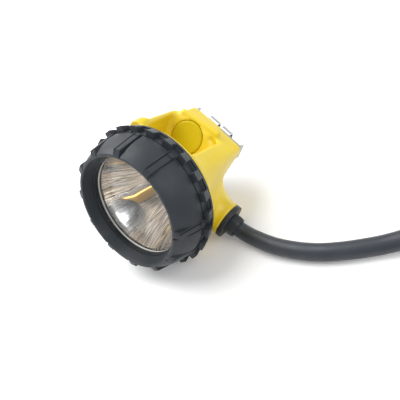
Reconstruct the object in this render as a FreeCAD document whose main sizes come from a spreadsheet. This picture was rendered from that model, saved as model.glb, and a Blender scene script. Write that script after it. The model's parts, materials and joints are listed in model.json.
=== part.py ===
import FreeCAD, Part
import math
import os

import Sketcher
from FreeCAD import Placement, Rotation, Vector

# A corded miner's cap lamp, lying on its side as it is put down on a bench.
#
# The headpiece is modelled in its beam frame: Z points forward along the beam, from the rear
# edge of the bezel, X points to the cable gland and Y to the top, where the button is.
# One placement then lays the headpiece on the floor: +Z up, the lens towards -Y, and the
# origin under the middle of the headpiece's box. The cable leaves towards +X and its unseen
# length is wound into a coil beside the lamp.

DRIVING_SIZES = {
    # Bezel: a rubber grip moulded over a threaded ring
    "grip_wall": 4.45,
    "grip_depth": 22.7,
    "rim_depth": 6.4,
    "groove_width": 1.0,
    "groove_depth": 0.8,
    "panel_wall": 2.95,
    "panel_crown": 1.2,
    "block_rise": 0.5,
    "block_flare": 1.2,
    "lip_flare": 2.5,
    "lip_wall": 1.5,
    "throat_step": 0.5,
    "ring_wall": 3.3,
    "ring_front_wall": 1.5,
    "ring_shoulder": 10.0,
    "ring_flange": 2.5,
    "ring_rear": 0.8,
    "window_lap": 1.8,
    "neck_radius": 29.6,
    "neck_length": 10.32,
    "neck_wall": 2.4,
    "thread_gap": 0.1,
    "rail_height": 0.8,
    "rail_end_height": 2.3,
    "rail_stop": 0.3,
    "rail_width": 4.2,
    "rail_slot": 0.8,
    "slot_depth": 0.6,
    "notch_depth": 0.6,
    "notch_width": 5.4,
    "notch_floor": 1.6,
    # Optics
    "seat_gap": 0.05,
    "lens_clear": 0.8,
    "lens_thick": 1.33,
    "gasket_thick": 0.55,
    "gasket_width": 1.95,
    "slip_thick": 0.5,
    "slip_clear": 0.6,
    "reflector_land": 2.1,
    "reflector_rim": 1.15,
    "reflector_wall": 0.7,
    "focal_length": 5.5,
    "reflector_hole": 7.5,
    "seal_section": 0.7,
    "seal_place": 2.5,
    # Light engine
    "board_gap": 0.6,
    "board_thick": 1.6,
    "emitter_side": 5.0,
    "emitter_thick": 0.9,
    "dome_radius": 1.9,
    "sink_radius": 15.5,
    "sink_flat": 7.5,
    "sink_plate": 3.6,
    "sink_gap": 0.3,
    "fin_depth": 5.0,
    "fin_thick": 1.4,
    "post_radius": 3.2,
    "post_clear": 0.4,
    "post_circle_radius": 12.6,
    "screw_bore": 1.3,
    "screw_head": 2.2,
    "screw_clear": 0.1,
    "sink_screw_bite": 6.0,
    "driver_screw_bite": 4.0,
    "head_height": 1.1,
    "driver_width": 14.0,
    "driver_height": 15.0,
    "driver_thick": 1.6,
    "driver_stand": 7.5,
    "driver_room": 2.78,
    "stand_radius": 2.2,
    "choke_radius": 3.0,
    "choke_height": 3.2,
    "terminal_width": 8.4,
    "terminal_height": 4.6,
    "terminal_rise": 4.2,
    "part_margin": 0.5,
    "lead_radius": 0.8,
    "lead_bend": 0.9,
    "lead_clear": 0.5,
    # Housing
    "wall": 2.4,
    "flange_gap": 0.3,
    "flange_inset": 1.2,
    "flange_thick": 2.7,
    "shell_inset": 0.7,
    "shell_power": 0.68,
    "rear_turn": 9.8,
    "rear_half_width": 20.2,
    "rear_foot_width": 13.0,
    "rear_top": 27.2,
    "rear_foot": 19.5,
    "rear_corner": 4.6,
    "rear_crown": 0.5,
    "outlet_depth": 18.4,
    "outlet_reach": 36.8,
    "outlet_radius": 9.4,
    "outlet_flare": 0.275,
    "flare_start": 31.0,
    "flare_bend": 3.0,
    "collar_radius": 9.9,
    "collar_length": 1.9,
    "outlet_bore": 6.5,
    "outlet_boss": 9.0,
    "outlet_inside": 14.0,
    "lug_radius": 4.6,
    "lug_inset": 1.9,
    "lug_angle": 131.0,
    "lug_length": 8.5,
    "lock_radius": 1.5,
    "lock_clear": 0.6,
    "lock_proud": 0.8,
    # Button pod, at the back of the scoop behind the bezel
    "pod_depth": 29.0,
    "pod_side": -7.9,
    "pod_height": 20.5,
    "pod_pitch": 64.0,
    "pod_half_width": 11.1,
    "pod_ridge": 9.9,
    "pod_foot": 10.4,
    "pod_fall": 8.0,
    "scoop_step": 1.5,
    "button_radius": 9.1,
    "button_gap": 0.3,
    "button_boss_wall": 1.6,
    "button_thick": 2.2,
    "button_proud_height": 0.5,
    "button_travel": 1.2,
    "stem_radius": 3.0,
    "stem_gap": 0.08,
    "stem_set_in": 0.6,
    "web_thick": 4.0,
    "wiper_gap": 0.3,
    "wiper_width": 0.7,
    "wiper_thick": 0.7,
    "plunger_radius": 1.5,
    "plunger_length": 3.0,
    "plunger_gap": 0.08,
    "switch_side": 9.0,
    "switch_depth": 5.0,
    "switch_drop": 1.0,
    "ear_reach": 9.6,
    "ear_width": 4.4,
    "ear_thick": 1.2,
    "ear_screw_inset": 1.9,
    "ear_screw_bore": 0.9,
    "ear_screw_head": 1.6,
    "ear_screw_bite": 2.4,
    "switch_clear": 0.4,
    "spring_radius": 5.4,
    "spring_wire": 0.3,
    "spring_turns": 3.0,
    "spring_pocket": 2.8,
    "spring_clear": 0.9,
    # Rear steelwork
    "plate_thick": 1.0,
    "plate_margin": 0.4,
    "plate_half_width": 18.6,
    "plate_foot": 9.5,
    "plate_curl": 2.4,
    "plate_curl_height": 9.0,
    "hook_sheet": 1.0,
    "hook_gap": 2.2,
    "hook_width": 22.6,
    "strap_width": 7.2,
    "strap_space": 2.8,
    "strap_length": 4.6,
    "tongue_length": 25.0,
    "hook_base": 17.0,
    "rivet_margin": 4.0,
    "rivet_radius": 1.2,
    "rivet_head": 2.0,
    "rivet_sink": 0.6,
    "rivet_gap": 0.05,
    "plate_screw_head": 2.4,
    "rivet_space": 8.0,
    "plate_screw_side": 14.9,
    "plate_screw_drop": 5.0,
    "plate_screw_foot": 3.2,
    "plate_screw_bite": 3.8,
    "boss_radius": 3.0,
    "boss_length": 5.0,
    "boss_floor": 0.8,
    # Cable and its gland
    "cord_diameter": 8.6,
    "cord_gap": 0.05,
    "cord_clear": 0.4,
    "gland_radius": 9.8,
    "gland_plate": 2.7,
    "spigot_gap": 0.1,
    "nut_flats": 10.8,
    "nut_length": 5.1,
    "seal_length": 4.6,
    "seal_gap": 0.3,
    "anchor_radius": 6.4,
    "anchor_length": 3.5,
    "anchor_slit": 1.6,
    "anchor_clear": 0.3,
    "anchor_room": 0.2,
    "cord_inside": 17.8,
    "cord_strip": 0.6,
    "shoulder_thick": 2.0,
    "lead_spread": 3.6,
    "cord_tail": 3.0,
    # The unseen length, wound beside the lamp on two ties, and its far end
    "coil_side": 186.0,
    "coil_behind": -3.1,
    "coil_heading": 32.0,
    "coil_inner": 37.0,
    "coil_space": 0.8,
    "coil_turns": 2.0,
    "coil_lead": 20.0,
    "tie_thick": 1.0,
    "tie_width": 8.0,
    "tie_gap": 0.2,
    "boot_wall": 0.9,
    "boot_length": 18.0,
    "boot_overlap": 4.0,
    "tail_radius": 1.2,
    "tail_spread": 3.6,
    "tail_splay": 4.0,
    "tail_lift": 0.1,
    "tail_length": 42.0,
    "terminal_radius": 4.2,
    "terminal_hole": 2.2,
    "terminal_thick": 0.8,
    "terminal_neck": 3.2,
    "terminal_barrel": 4.2,
}

# The free cable on the floor, from the gland to where it climbs onto the coil, in the part's frame
CORD_ROUTE = (
    (47.8, -3.2), (61.8, -4.2), (78.8, -1.1), (92.6, 5.6), (108.9, 16.3),
)

RAIL_ANGLES = (22.0, 80.0, 112.0, 142.0, 173.0, 203.0, 233.0, 263.0, 293.0, 323.0, 352.0)
NOTCH_COUNT = 24
NOTCH_TURN = 5.0
POST_ANGLES = (-105.0, -32.0, 168.0)
TIE_ANGLES = (30.0, 210.0)
COIL_QUARTERS = 18
CORD_SHORTER_SHARE = 0.45
FIN_COUNT = 6
FIN_SPREAD = 1.3
SHELL_STATIONS = (0.0, 0.12, 0.3, 0.6, 1.0)
CURVE_STEPS = 7
PANEL_SHARES = (0.25, 0.5, 0.75, 0.92)
SETTLE_ROUNDS = 40

# How far a cutting tool runs past what it cuts
PAST = 1.0
FAR = 60.0

# How far one solid is sunk into the next before they become one
SINK_IN = 0.4
TOUCH = 0.01

doc = FreeCAD.newDocument("cap_lamp")
sheet = doc.addObject("Spreadsheet::Sheet", "Sizes")


class Size:
    """A length or angle, kept together with the spreadsheet expression that gives it."""

    def __init__(self, value, text):
        self.value = value
        self.text = text

    def __float__(self):
        return self.value

    def join(self, other, sign, value):
        text = other.text if isinstance(other, Size) else repr(float(other))
        return Size(value, "(" + self.text + sign + text + ")")

    def __add__(self, other):
        return self.join(other, " + ", self.value + float(other))

    def __sub__(self, other):
        return self.join(other, " - ", self.value - float(other))

    def __mul__(self, other):
        return self.join(other, " * ", self.value * float(other))

    def __truediv__(self, other):
        return self.join(other, " / ", self.value / float(other))


class Sizes:
    """Every driving size as an attribute of its own name."""


def fill_sheet():
    sizes = Sizes()
    for row, (name, value) in enumerate(DRIVING_SIZES.items(), start=1):
        sheet.set("A%d" % row, name)
        sheet.set("B%d" % row, str(value))
        sheet.setAlias("B%d" % row, name)
    doc.recompute()
    for name in DRIVING_SIZES:
        setattr(sizes, name, Size(float(sheet.get(name)), "Sizes." + name))
    return sizes


s = fill_sheet()
nodes = []


def add_shape(label, shape, place=None):
    """Add a piece whose shape was worked out from the sizes."""
    piece = doc.addObject("Part::Feature", label)
    piece.Label = label
    piece.Shape = shape
    if place:
        piece.Placement = place.multiply(shape.Placement)
    nodes.append(piece)
    return piece


def origin_plane(body, role):
    return [plane for plane in body.Origin.OriginFeatures if plane.Role == role][0]


def draw_outline(sketch, corners):
    """Draw a closed polygon, with each corner's two coordinates driven by the sheet."""
    count = len(corners)
    points = [Vector(float(x), float(y), 0) for x, y in corners]
    for index in range(count):
        following = points[(index + 1) % count]
        sketch.addGeometry(Part.LineSegment(points[index], following), False)
    for index in range(count):
        sketch.addConstraint(Sketcher.Constraint("Coincident", index, 2, (index + 1) % count, 1))
    for index, corner in enumerate(corners):
        for kind, size in zip(("DistanceX", "DistanceY"), corner):
            if float(size) == 0:
                axis = -2 if kind == "DistanceX" else -1
                sketch.addConstraint(Sketcher.Constraint("PointOnObject", index, 1, axis))
                continue
            number = sketch.addConstraint(Sketcher.Constraint(kind, index, 1, float(size)))
            if isinstance(size, Size):
                sketch.setExpression("Constraints[%d]" % number, size.text)


def turned(label, corners, place):
    """A piece turned about its own Z axis from corners given as radius and height."""
    body = doc.addObject("PartDesign::Body", label)
    body.Label = label
    sketch = body.newObject("Sketcher::SketchObject", label + "_outline")
    sketch.AttachmentSupport = [(origin_plane(body, "XZ_Plane"), "")]
    sketch.MapMode = "FlatFace"
    draw_outline(sketch, corners)
    turn = body.newObject("PartDesign::Revolution", label + "_turn")
    turn.Profile = sketch
    turn.ReferenceAxis = (sketch, ["V_Axis"])
    turn.Angle = 360
    sketch.Visibility = False
    body.Tip = turn
    body.Placement = place
    nodes.append(body)
    return body


def polygon_face(points):
    return Part.Face(Part.makePolygon(list(points) + [points[0]]))


def box(x0, x1, y0, y1, z0, z1):
    corner = Vector(float(x0), float(y0), float(z0))
    return Part.makeBox(float(x1) - float(x0), float(y1) - float(y0), float(z1) - float(z0), corner)


def rod(radius, start, end):
    return Part.makeCylinder(float(radius), start.distanceToPoint(end), start, end - start)


def polar(radius, degrees, z=0.0):
    angle = math.radians(degrees)
    return Vector(float(radius) * math.cos(angle), float(radius) * math.sin(angle), float(z))


def along_z(distance):
    return Vector(0, 0, float(distance))


# Radii of the bezel and the housing's front, from the neck outwards
ring_bore = s.neck_radius + s.thread_gap
ring_outer = ring_bore + s.ring_wall
ring_waist = ring_bore + s.ring_front_wall
grip_bore = ring_outer + s.seat_gap
grip_radius = grip_bore + s.grip_wall
panel_radius = grip_bore + s.panel_wall
lens_radius = ring_bore - s.lens_clear
window_radius = lens_radius - s.window_lap
reflector_radius = lens_radius - s.reflector_land
lip_radius = window_radius + s.lip_flare + s.lip_wall
flange_radius = grip_radius - s.flange_inset
shell_radius = flange_radius - s.shell_inset
lug_circle = flange_radius - s.lug_inset

# The lens stack, from the neck forwards
rim_back = s.neck_length + s.seat_gap
rim_front = rim_back + s.reflector_rim
lens_back = rim_front + s.seat_gap
lens_front = lens_back + s.lens_thick
gasket_back = lens_front + s.seat_gap
gasket_front = gasket_back + s.gasket_thick
slip_back = gasket_front + s.seat_gap
slip_front = slip_back + s.slip_thick
ring_face = slip_front + s.seat_gap
ring_front = ring_face + s.ring_flange
grip_face = ring_front + s.seat_gap

# The reflector is a paraboloid: height above its vertex is radius squared over four focal lengths
vertex = float(rim_front) - float(reflector_radius) ** 2 / (4 * float(s.focal_length))


def dish_height(radius):
    return vertex + radius ** 2 / (4 * float(s.focal_length))


hole_edge = dish_height(float(s.reflector_hole))
emitter_top = vertex + float(s.focal_length)
emitter_back = emitter_top - float(s.emitter_thick)
board_front = emitter_back - float(s.seat_gap)
board_back = board_front - float(s.board_thick)
sink_front = hole_edge - float(s.sink_gap)
sink_back = sink_front - float(s.sink_plate)

# Behind the heat sink's fins come the driver board, its stands and the housing's rear wall
driver_front = sink_back - float(s.fin_depth) - float(s.driver_room) - float(s.terminal_rise)
driver_back = driver_front - float(s.driver_thick)
stand_front = driver_back - float(s.seat_gap)
rear_depth = float(s.driver_stand) + float(s.wall) - stand_front

# Local frames in the beam frame: the rear face, the gland axis and the button's face
rear_frame = Placement(Vector(0, 0, -rear_depth), Rotation(Vector(0, 1, 0), -float(s.rear_turn)))
gland_frame = Placement(Vector(0, 0, -float(s.outlet_depth)), Rotation(Vector(0, 1, 0), 90))
pod_frame = Placement(
    Vector(float(s.pod_side), float(s.pod_height), -float(s.pod_depth)),
    Rotation(Vector(1, 0, 0), float(s.pod_pitch) - 90),
)


def settle():
    """Lay the headpiece on the rim of its bezel, on its gland and on its rear foot.

    Each round takes the lowest point of the three and puts a plane through them.
    """
    rear_point = rear_frame.multVec(Vector(float(s.rear_foot_width) - 1, 1 - float(s.rear_foot), 0))
    gland_end = float(s.outlet_reach) + float(s.gland_plate)
    gland_middle = gland_frame.multVec(Vector(0, 0, gland_end))
    gland_axis = Vector(1, 0, 0)
    beam = Vector(0, 0, 1)
    up = Vector(-0.5, 0.8, 0.25)
    for _ in range(SETTLE_ROUNDS):
        up.normalize()
        across = up - beam * up.dot(beam)
        across.normalize()
        rim_point = across * -float(grip_radius)
        across = up - gland_axis * up.dot(gland_axis)
        across.normalize()
        gland_point = gland_middle - across * float(s.gland_radius)
        following = (rim_point - rear_point).cross(gland_point - rear_point)
        following.normalize()
        up = following if following.y > 0 else following * -1
    stand = Rotation(Vector(1, 0, 0), 90)
    lean = Rotation(stand.multVec(up), Vector(0, 0, 1))
    return Placement(Vector(0, 0, 0), lean.multiply(stand)), rim_point


bench, rim_point = settle()
lie = Placement(Vector(0, 0, -bench.multVec(rim_point).z), Rotation()).multiply(bench)


# Bezel

panel_foot = s.rim_depth + s.groove_width
panel_length = s.grip_depth - panel_foot


def panel_at(share):
    """Radius and height of the crowned panel, from 0 at its foot to 1 at the lip."""
    cone = panel_radius - (panel_radius - lip_radius) * share
    return (cone + s.panel_crown * (4 * share * (1 - share)), panel_foot + panel_length * share)


def bezel_profile():
    front_inner = ring_waist + s.seat_gap
    groove = panel_radius - s.groove_depth
    block = grip_radius + s.block_rise
    return [
        (grip_bore, 0), (grip_radius, 0), (grip_radius, s.notch_floor), (block, s.notch_floor),
        (block + s.block_flare, s.rim_depth), (groove, s.rim_depth), (groove, panel_foot),
        (panel_radius, panel_foot), *[panel_at(share) for share in PANEL_SHARES], (lip_radius, s.grip_depth),
        (lip_radius - s.lip_wall, s.grip_depth), (window_radius + s.throat_step, grip_face),
        (front_inner, grip_face), (front_inner, s.ring_shoulder), (grip_bore, s.ring_shoulder),
    ]


def ring_sector(profile, middle, width, outer):
    """A slice of a turned profile, as wide at the given radius as the width says."""
    sweep = math.degrees(float(width) / float(outer))
    face = polygon_face([Vector(float(r), 0, float(z)) for r, z in profile])
    face.rotate(Vector(), Vector(0, 0, 1), middle - sweep / 2)
    return face.revolve(Vector(), Vector(0, 0, 1), sweep)


def make_grip():
    """The turned grip with straight rails on its panel, a slot beside each, and notches round its rim."""
    outline = polygon_face([Vector(float(r), 0, float(z)) for r, z in bezel_profile()])
    grip = outline.revolve(Vector(), Vector(0, 0, 1), 360)
    back = float(panel_foot)
    rail_front = float(s.grip_depth) - float(s.rail_stop)
    panel_front, _ = panel_at((rail_front - back) / float(panel_length))
    rail = [
        (float(panel_radius) - PAST, back), (float(panel_radius) + float(s.rail_height), back),
        (float(panel_front) + float(s.rail_end_height), rail_front), (float(panel_front) - PAST, rail_front),
    ]
    line = [panel_at(share) for share in (0.0, *PANEL_SHARES, 1.0)]
    slot = [(float(r) - float(s.slot_depth), float(z)) for r, z in line]
    slot.append((slot[-1][0], slot[-1][1] + PAST))
    slot.append((float(lip_radius) + PAST, slot[-1][1]))
    slot.append((float(panel_radius) + 2 * PAST, back))
    rails = []
    cuts = []
    beside = math.degrees((float(s.rail_width) + float(s.rail_slot)) / 2 / float(panel_radius))
    for angle in RAIL_ANGLES:
        rails.append(ring_sector(rail, angle, s.rail_width, panel_radius))
        cuts.append(ring_sector(slot, angle - beside, s.rail_slot, panel_radius))
    floor = float(grip_radius) - float(s.notch_depth)
    rim_front = float(s.rim_depth) + PAST / 10
    above = float(grip_radius) + float(s.block_rise) + float(s.block_flare) + PAST
    notch = [(floor, s.notch_floor), (above, s.notch_floor), (above, rim_front), (floor, rim_front)]
    for index in range(NOTCH_COUNT):
        middle = index * 360.0 / NOTCH_COUNT + NOTCH_TURN
        cuts.append(ring_sector(notch, middle, s.notch_width, grip_radius))
    return grip.fuse(rails).cut(cuts).removeSplitter()


add_shape("bezel_grip", make_grip(), lie)

ring_step = s.ring_shoulder - s.seat_gap
turned("bezel_ring", [
    (ring_bore, s.ring_rear), (ring_outer, s.ring_rear), (ring_outer, ring_step),
    (ring_waist, ring_step), (ring_waist, ring_front), (window_radius, ring_front),
    (window_radius, ring_face), (ring_bore, ring_face),
], lie)
slip_outer = ring_bore - s.slip_clear
turned("slip_ring", [
    (window_radius, slip_back),
    (slip_outer, slip_back),
    (slip_outer, slip_front),
    (window_radius, slip_front),
], lie)
turned("lens_gasket", [
    (lens_radius - s.gasket_width, gasket_back), (lens_radius, gasket_back),
    (lens_radius, gasket_front), (lens_radius - s.gasket_width, gasket_front),
], lie)
turned("lens", [
    (0, lens_back), (lens_radius, lens_back), (lens_radius, lens_front), (0, lens_front),
], lie)


def ring_of_rubber(middle, section, height):
    return Part.makeTorus(float(middle), float(section), Vector(0, 0, float(height)))


seal_middle = s.neck_radius + s.thread_gap / 2 - s.seal_section
add_shape("bezel_seal", ring_of_rubber(seal_middle, s.seal_section - s.seat_gap, s.seal_place), lie)


def make_reflector():
    """Turn the dish between its parabola and the same curve moved out by the wall."""
    hole = float(s.reflector_hole)
    mouth = float(reflector_radius)
    wall = float(s.reflector_wall)
    back_radius = math.sqrt((float(rim_back) - vertex) * 4 * float(s.focal_length))

    def curve(start, end, out):
        radii = [start + (end - start) * step / CURVE_STEPS for step in range(CURVE_STEPS + 1)]
        spline = Part.BSplineCurve()
        spline.interpolate([Vector(r + out, 0, dish_height(r)) for r in radii])
        return spline.toShape()

    rim = float(lens_radius)
    corners = [Vector(mouth, 0, float(rim_front)), Vector(rim, 0, float(rim_front)),
               Vector(rim, 0, float(rim_back)), Vector(back_radius + wall, 0, float(rim_back))]
    edges = [curve(hole, mouth, 0)]
    for first, second in zip(corners, corners[1:]):
        edges.append(Part.makeLine(first, second))
    edges.append(curve(back_radius, hole, wall))
    edges.append(Part.makeLine(Vector(hole + wall, 0, hole_edge), Vector(hole, 0, hole_edge)))
    return Part.Face(Part.Wire(edges)).revolve(Vector(), Vector(0, 0, 1), 360)


add_shape("reflector", make_reflector(), lie)

# Light engine

board_radius = float(s.reflector_hole) - float(s.board_gap)
emitter = box(-s.emitter_side.value / 2, s.emitter_side.value / 2, -s.emitter_side.value / 2,
              s.emitter_side.value / 2, emitter_back, emitter_top)
dome = Part.makeSphere(float(s.dome_radius), Vector(0, 0, emitter_top), Vector(0, 0, 1), 0, 90, 360)
add_shape("led_emitter", emitter.fuse(dome), lie)
add_shape("led_board", rod(board_radius, Vector(0, 0, board_back), Vector(0, 0, board_front)), lie)


screw_hole = float(s.screw_bore) + float(s.screw_clear)


def make_heat_sink():
    radius = float(s.sink_radius)
    plate = rod(radius, Vector(0, 0, sink_back), Vector(0, 0, sink_front))
    pedestal = rod(board_radius, Vector(0, 0, sink_back), Vector(0, 0, board_back - float(s.seat_gap)))
    fins = []
    spread = radius * FIN_SPREAD
    for index in range(FIN_COUNT):
        x = -spread / 2 + spread * index / (FIN_COUNT - 1)
        half = math.sqrt(radius ** 2 - (abs(x) + float(s.fin_thick)) ** 2)
        fins.append(box(x - float(s.fin_thick) / 2, x + float(s.fin_thick) / 2, -half, half,
                        sink_back - float(s.fin_depth), sink_back + PAST))
    sink = plate.fuse([pedestal] + fins)
    flat = box(-radius - PAST, radius + PAST, s.sink_flat, radius + PAST,
               sink_back - float(s.fin_depth) - PAST, sink_front + PAST)
    cuts = [flat]
    for angle in POST_ANGLES:
        post = polar(s.post_circle_radius, angle)
        back = post + Vector(0, 0, sink_back)
        cuts.append(rod(float(s.post_radius) + float(s.post_clear), back - Vector(0, 0, FAR), back))
        cuts.append(rod(screw_hole, back - Vector(0, 0, PAST), back + Vector(0, 0, FAR)))
    return sink.cut(cuts).removeSplitter()


add_shape("heat_sink", make_heat_sink(), lie)


def pan_screw(head, under, direction, shank, length):
    """A pan-head screw: under is the point beneath its head, and its shank runs along direction."""
    top = under - direction * float(s.head_height)
    return rod(head, top, under).fuse(rod(shank, under, under + direction * float(length)))


shank = float(s.screw_bore) - float(s.seat_gap)
back_along = Vector(0, 0, -1)
sink_screws = []
for angle in POST_ANGLES:
    under = polar(s.post_circle_radius, angle, sink_front + float(s.seat_gap))
    sink_screws.append(pan_screw(s.screw_head, under, back_along, shank,
                                 float(s.sink_plate) + float(s.sink_screw_bite)))
add_shape("heat_sink_screws", Part.makeCompound(sink_screws), lie)

half_board = float(s.driver_width) / 2
stand_side = half_board - float(s.stand_radius)
driver = box(-half_board, half_board, -float(s.driver_height) / 2, float(s.driver_height) / 2,
             driver_back, driver_front)
stand_points = [Vector(-stand_side, 0, driver_front), Vector(stand_side, 0, driver_front)]
for point in stand_points:
    hole_back = point - along_z(float(s.driver_thick) + PAST)
    driver = driver.cut(rod(screw_hole, hole_back, point + along_z(PAST)))
add_shape("driver_board", driver, lie)
driver_screws = []
for point in stand_points:
    under = point + Vector(0, 0, float(s.seat_gap))
    driver_screws.append(pan_screw(s.screw_head, under, back_along, shank,
                                   float(s.driver_thick) + float(s.driver_screw_bite)))
add_shape("driver_screws", Part.makeCompound(driver_screws), lie)
choke_low = -float(s.driver_height) / 2 + float(s.choke_radius) + float(s.part_margin)
choke_foot = Vector(0, choke_low, driver_front)
choke = rod(s.choke_radius, choke_foot + Vector(0, 0, float(s.seat_gap)),
            choke_foot + Vector(0, 0, float(s.choke_height)))
add_shape("driver_choke", choke, lie)
terminal_top = float(s.driver_height) / 2 - float(s.part_margin)
terminal = box(-float(s.terminal_width) / 2, float(s.terminal_width) / 2,
               terminal_top - float(s.terminal_height), terminal_top,
               driver_front + float(s.seat_gap), driver_front + float(s.terminal_rise))
terminal_middle = Vector(0, terminal_top - float(s.terminal_height) / 2, driver_front)

# Gland, and the end of the cable that it holds

cord_radius = s.cord_diameter / 2
cord_bore = cord_radius + s.cord_gap
spigot_radius = s.outlet_bore - s.spigot_gap
gland_place = lie.multiply(gland_frame)
plate_back = s.outlet_reach + s.seat_gap
plate_front = plate_back + s.gland_plate
anchor_start = s.cord_inside + s.cord_strip
anchor_end = anchor_start + s.anchor_length
shoulder_back = anchor_end + s.anchor_room
shoulder = shoulder_back + s.shoulder_thick
seal_back = shoulder + s.seat_gap
seal_end = seal_back + s.seal_length
spigot_end = seal_end + s.seat_gap
turned("gland_flange", [
    (cord_bore, spigot_end), (spigot_radius, spigot_end), (spigot_radius, plate_back),
    (s.gland_radius, plate_back), (s.gland_radius, plate_front), (cord_bore, plate_front),
], gland_place)


def make_gland_nut():
    """A hexagonal nut with its front corners turned off."""
    start = float(plate_front) + float(s.seat_gap)
    end = start + float(s.nut_length)
    corner = float(s.nut_flats) / math.sqrt(3)
    hexagon = polygon_face([polar(corner, 60 * index, start) for index in range(6)])
    nut = hexagon.extrude(Vector(0, 0, end - start))
    cone = Part.makeCone(corner + float(s.nut_length), float(s.nut_flats) / 2, end - start, along_z(start))
    return nut.common(cone).cut(rod(cord_bore, along_z(start - PAST), along_z(end + PAST)))


add_shape("gland_nut", make_gland_nut(), gland_place)
cord_exit = float(plate_front) + float(s.seat_gap) + float(s.nut_length)
cord_start = cord_exit - float(s.cord_tail)
turned("cable_seal", [
    (cord_radius + s.seal_gap, seal_back), (s.outlet_bore - s.seal_gap, seal_back),
    (s.outlet_bore - s.seal_gap, seal_end), (cord_radius + s.seal_gap, seal_end),
], gland_place)


def make_anchor():
    """A collar that grips the cable, slit so that it can be squeezed."""
    low = float(anchor_start) - PAST
    high = float(anchor_end) + PAST
    collar = rod(s.anchor_radius, along_z(anchor_start), along_z(anchor_end))
    slit_side = float(s.anchor_slit) / 2
    slit = box(-slit_side, slit_side, 0, float(s.anchor_radius) + PAST, low, high)
    return collar.cut([rod(cord_bore, along_z(low), along_z(high)), slit])


add_shape("cord_anchor", make_anchor(), gland_place)
add_shape("cord_end", rod(cord_radius, along_z(s.cord_inside), along_z(cord_start)), gland_place)


def bent_wire(points, radius):
    """A wire through straight runs joined by tangent arcs, and the radius of each arc."""
    edges = []
    radii = []
    last = points[0]
    for before, corner, after in zip(points, points[1:], points[2:]):
        inward = (before - corner).normalize()
        outward = (after - corner).normalize()
        half_turn = (math.pi - inward.getAngle(outward)) / 2
        run = min(before.distanceToPoint(corner), after.distanceToPoint(corner))
        bend = radius if radius else CORD_SHORTER_SHARE * run / math.tan(half_turn)
        radii.append(bend)
        setback = bend * math.tan(half_turn)
        start = corner + inward * setback
        end = corner + outward * setback
        bisector = (inward + outward).normalize()
        middle = corner + bisector * (bend / math.cos(half_turn) - bend)
        edges.append(Part.LineSegment(last, start).toShape())
        edges.append(Part.Arc(start, middle, end).toShape())
        last = end
    edges.append(Part.LineSegment(last, points[-1]).toShape())
    return Part.Wire(edges), radii


def tube(points, thickness, radius=None):
    """A round solid along a bent wire."""
    path, radii = bent_wire(points, radius)
    ring = Part.Wire(Part.makeCircle(float(thickness), points[0], points[1] - points[0]))
    solid = path.makePipeShell([ring], True, False)
    return solid, path.Length, radii


def corner_arc(start, corner, end):
    """The arc that starts and ends on the two sides of a corner, equally far from it."""
    inward = (start - corner).normalize()
    outward = (end - corner).normalize()
    half_turn = (math.pi - inward.getAngle(outward)) / 2
    reach = start.distanceToPoint(corner)
    bend = reach / math.tan(half_turn)
    middle = corner + (inward + outward).normalize() * (bend / math.cos(half_turn) - bend)
    return Part.Arc(start, middle, end).toShape(), bend


def biarc(start, start_way, end, end_way):
    """Two arcs that leave start and reach end along the given ways and meet in one line."""
    chord = end - start
    ways = start_way + end_way
    bend = 2 * (start_way.dot(end_way) - 1)
    along = chord.dot(ways)
    reach = (along - math.sqrt(along ** 2 - bend * chord.dot(chord))) / bend
    first = start + start_way * reach
    second = end - end_way * reach
    join = (first + second) * 0.5
    return [corner_arc(start, first, join), corner_arc(join, second, end)]


def wound(points, ways, thickness, lead):
    """A round tube on arcs through the points along the ways, straight for lead at both ends."""
    begin = points[0] - ways[0] * lead
    edges = [Part.makeLine(begin, points[0])]
    bends = []
    for index in range(len(points) - 1):
        for edge, bend in biarc(points[index], ways[index], points[index + 1], ways[index + 1]):
            edges.append(edge)
            bends.append(bend)
    edges.append(Part.makeLine(points[-1], points[-1] + ways[-1] * lead))
    path = Part.Wire(edges)
    ring = Part.Wire(Part.makeCircle(thickness, begin, ways[0]))
    return path.makePipeShell([ring], True, False), path.Length, bends


def lead_route(side):
    """One conductor, from the cable's end round the heat sink to its terminal."""
    offset = side * float(s.lead_spread) / 2
    start = gland_frame.multVec(Vector(0, offset, float(s.cord_inside) - float(s.seat_gap)))
    entry = Vector(float(s.terminal_width) / 2 + float(s.seat_gap) * 2,
                   terminal_middle.y + side * float(s.lead_spread) / 3,
                   driver_front + (float(s.terminal_rise) + float(s.part_margin)) / 2)
    beside_sink = float(s.sink_radius) + float(s.lead_radius) + float(s.lead_clear)
    turn_down = Vector(beside_sink, offset, start.z)
    foot = Vector(beside_sink, offset, sink_back - float(s.fin_depth))
    reach = Vector(entry.x + 5 * float(s.lead_bend), entry.y, entry.z)
    return [start, turn_down, foot, reach, entry]


for name, side in (("lead_positive", 1), ("lead_negative", -1)):
    wire_solid, _, _ = tube(lead_route(side), s.lead_radius, float(s.lead_bend))
    add_shape(name, wire_solid, lie)
add_shape("terminal_block", terminal, lie)


# Housing

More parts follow.
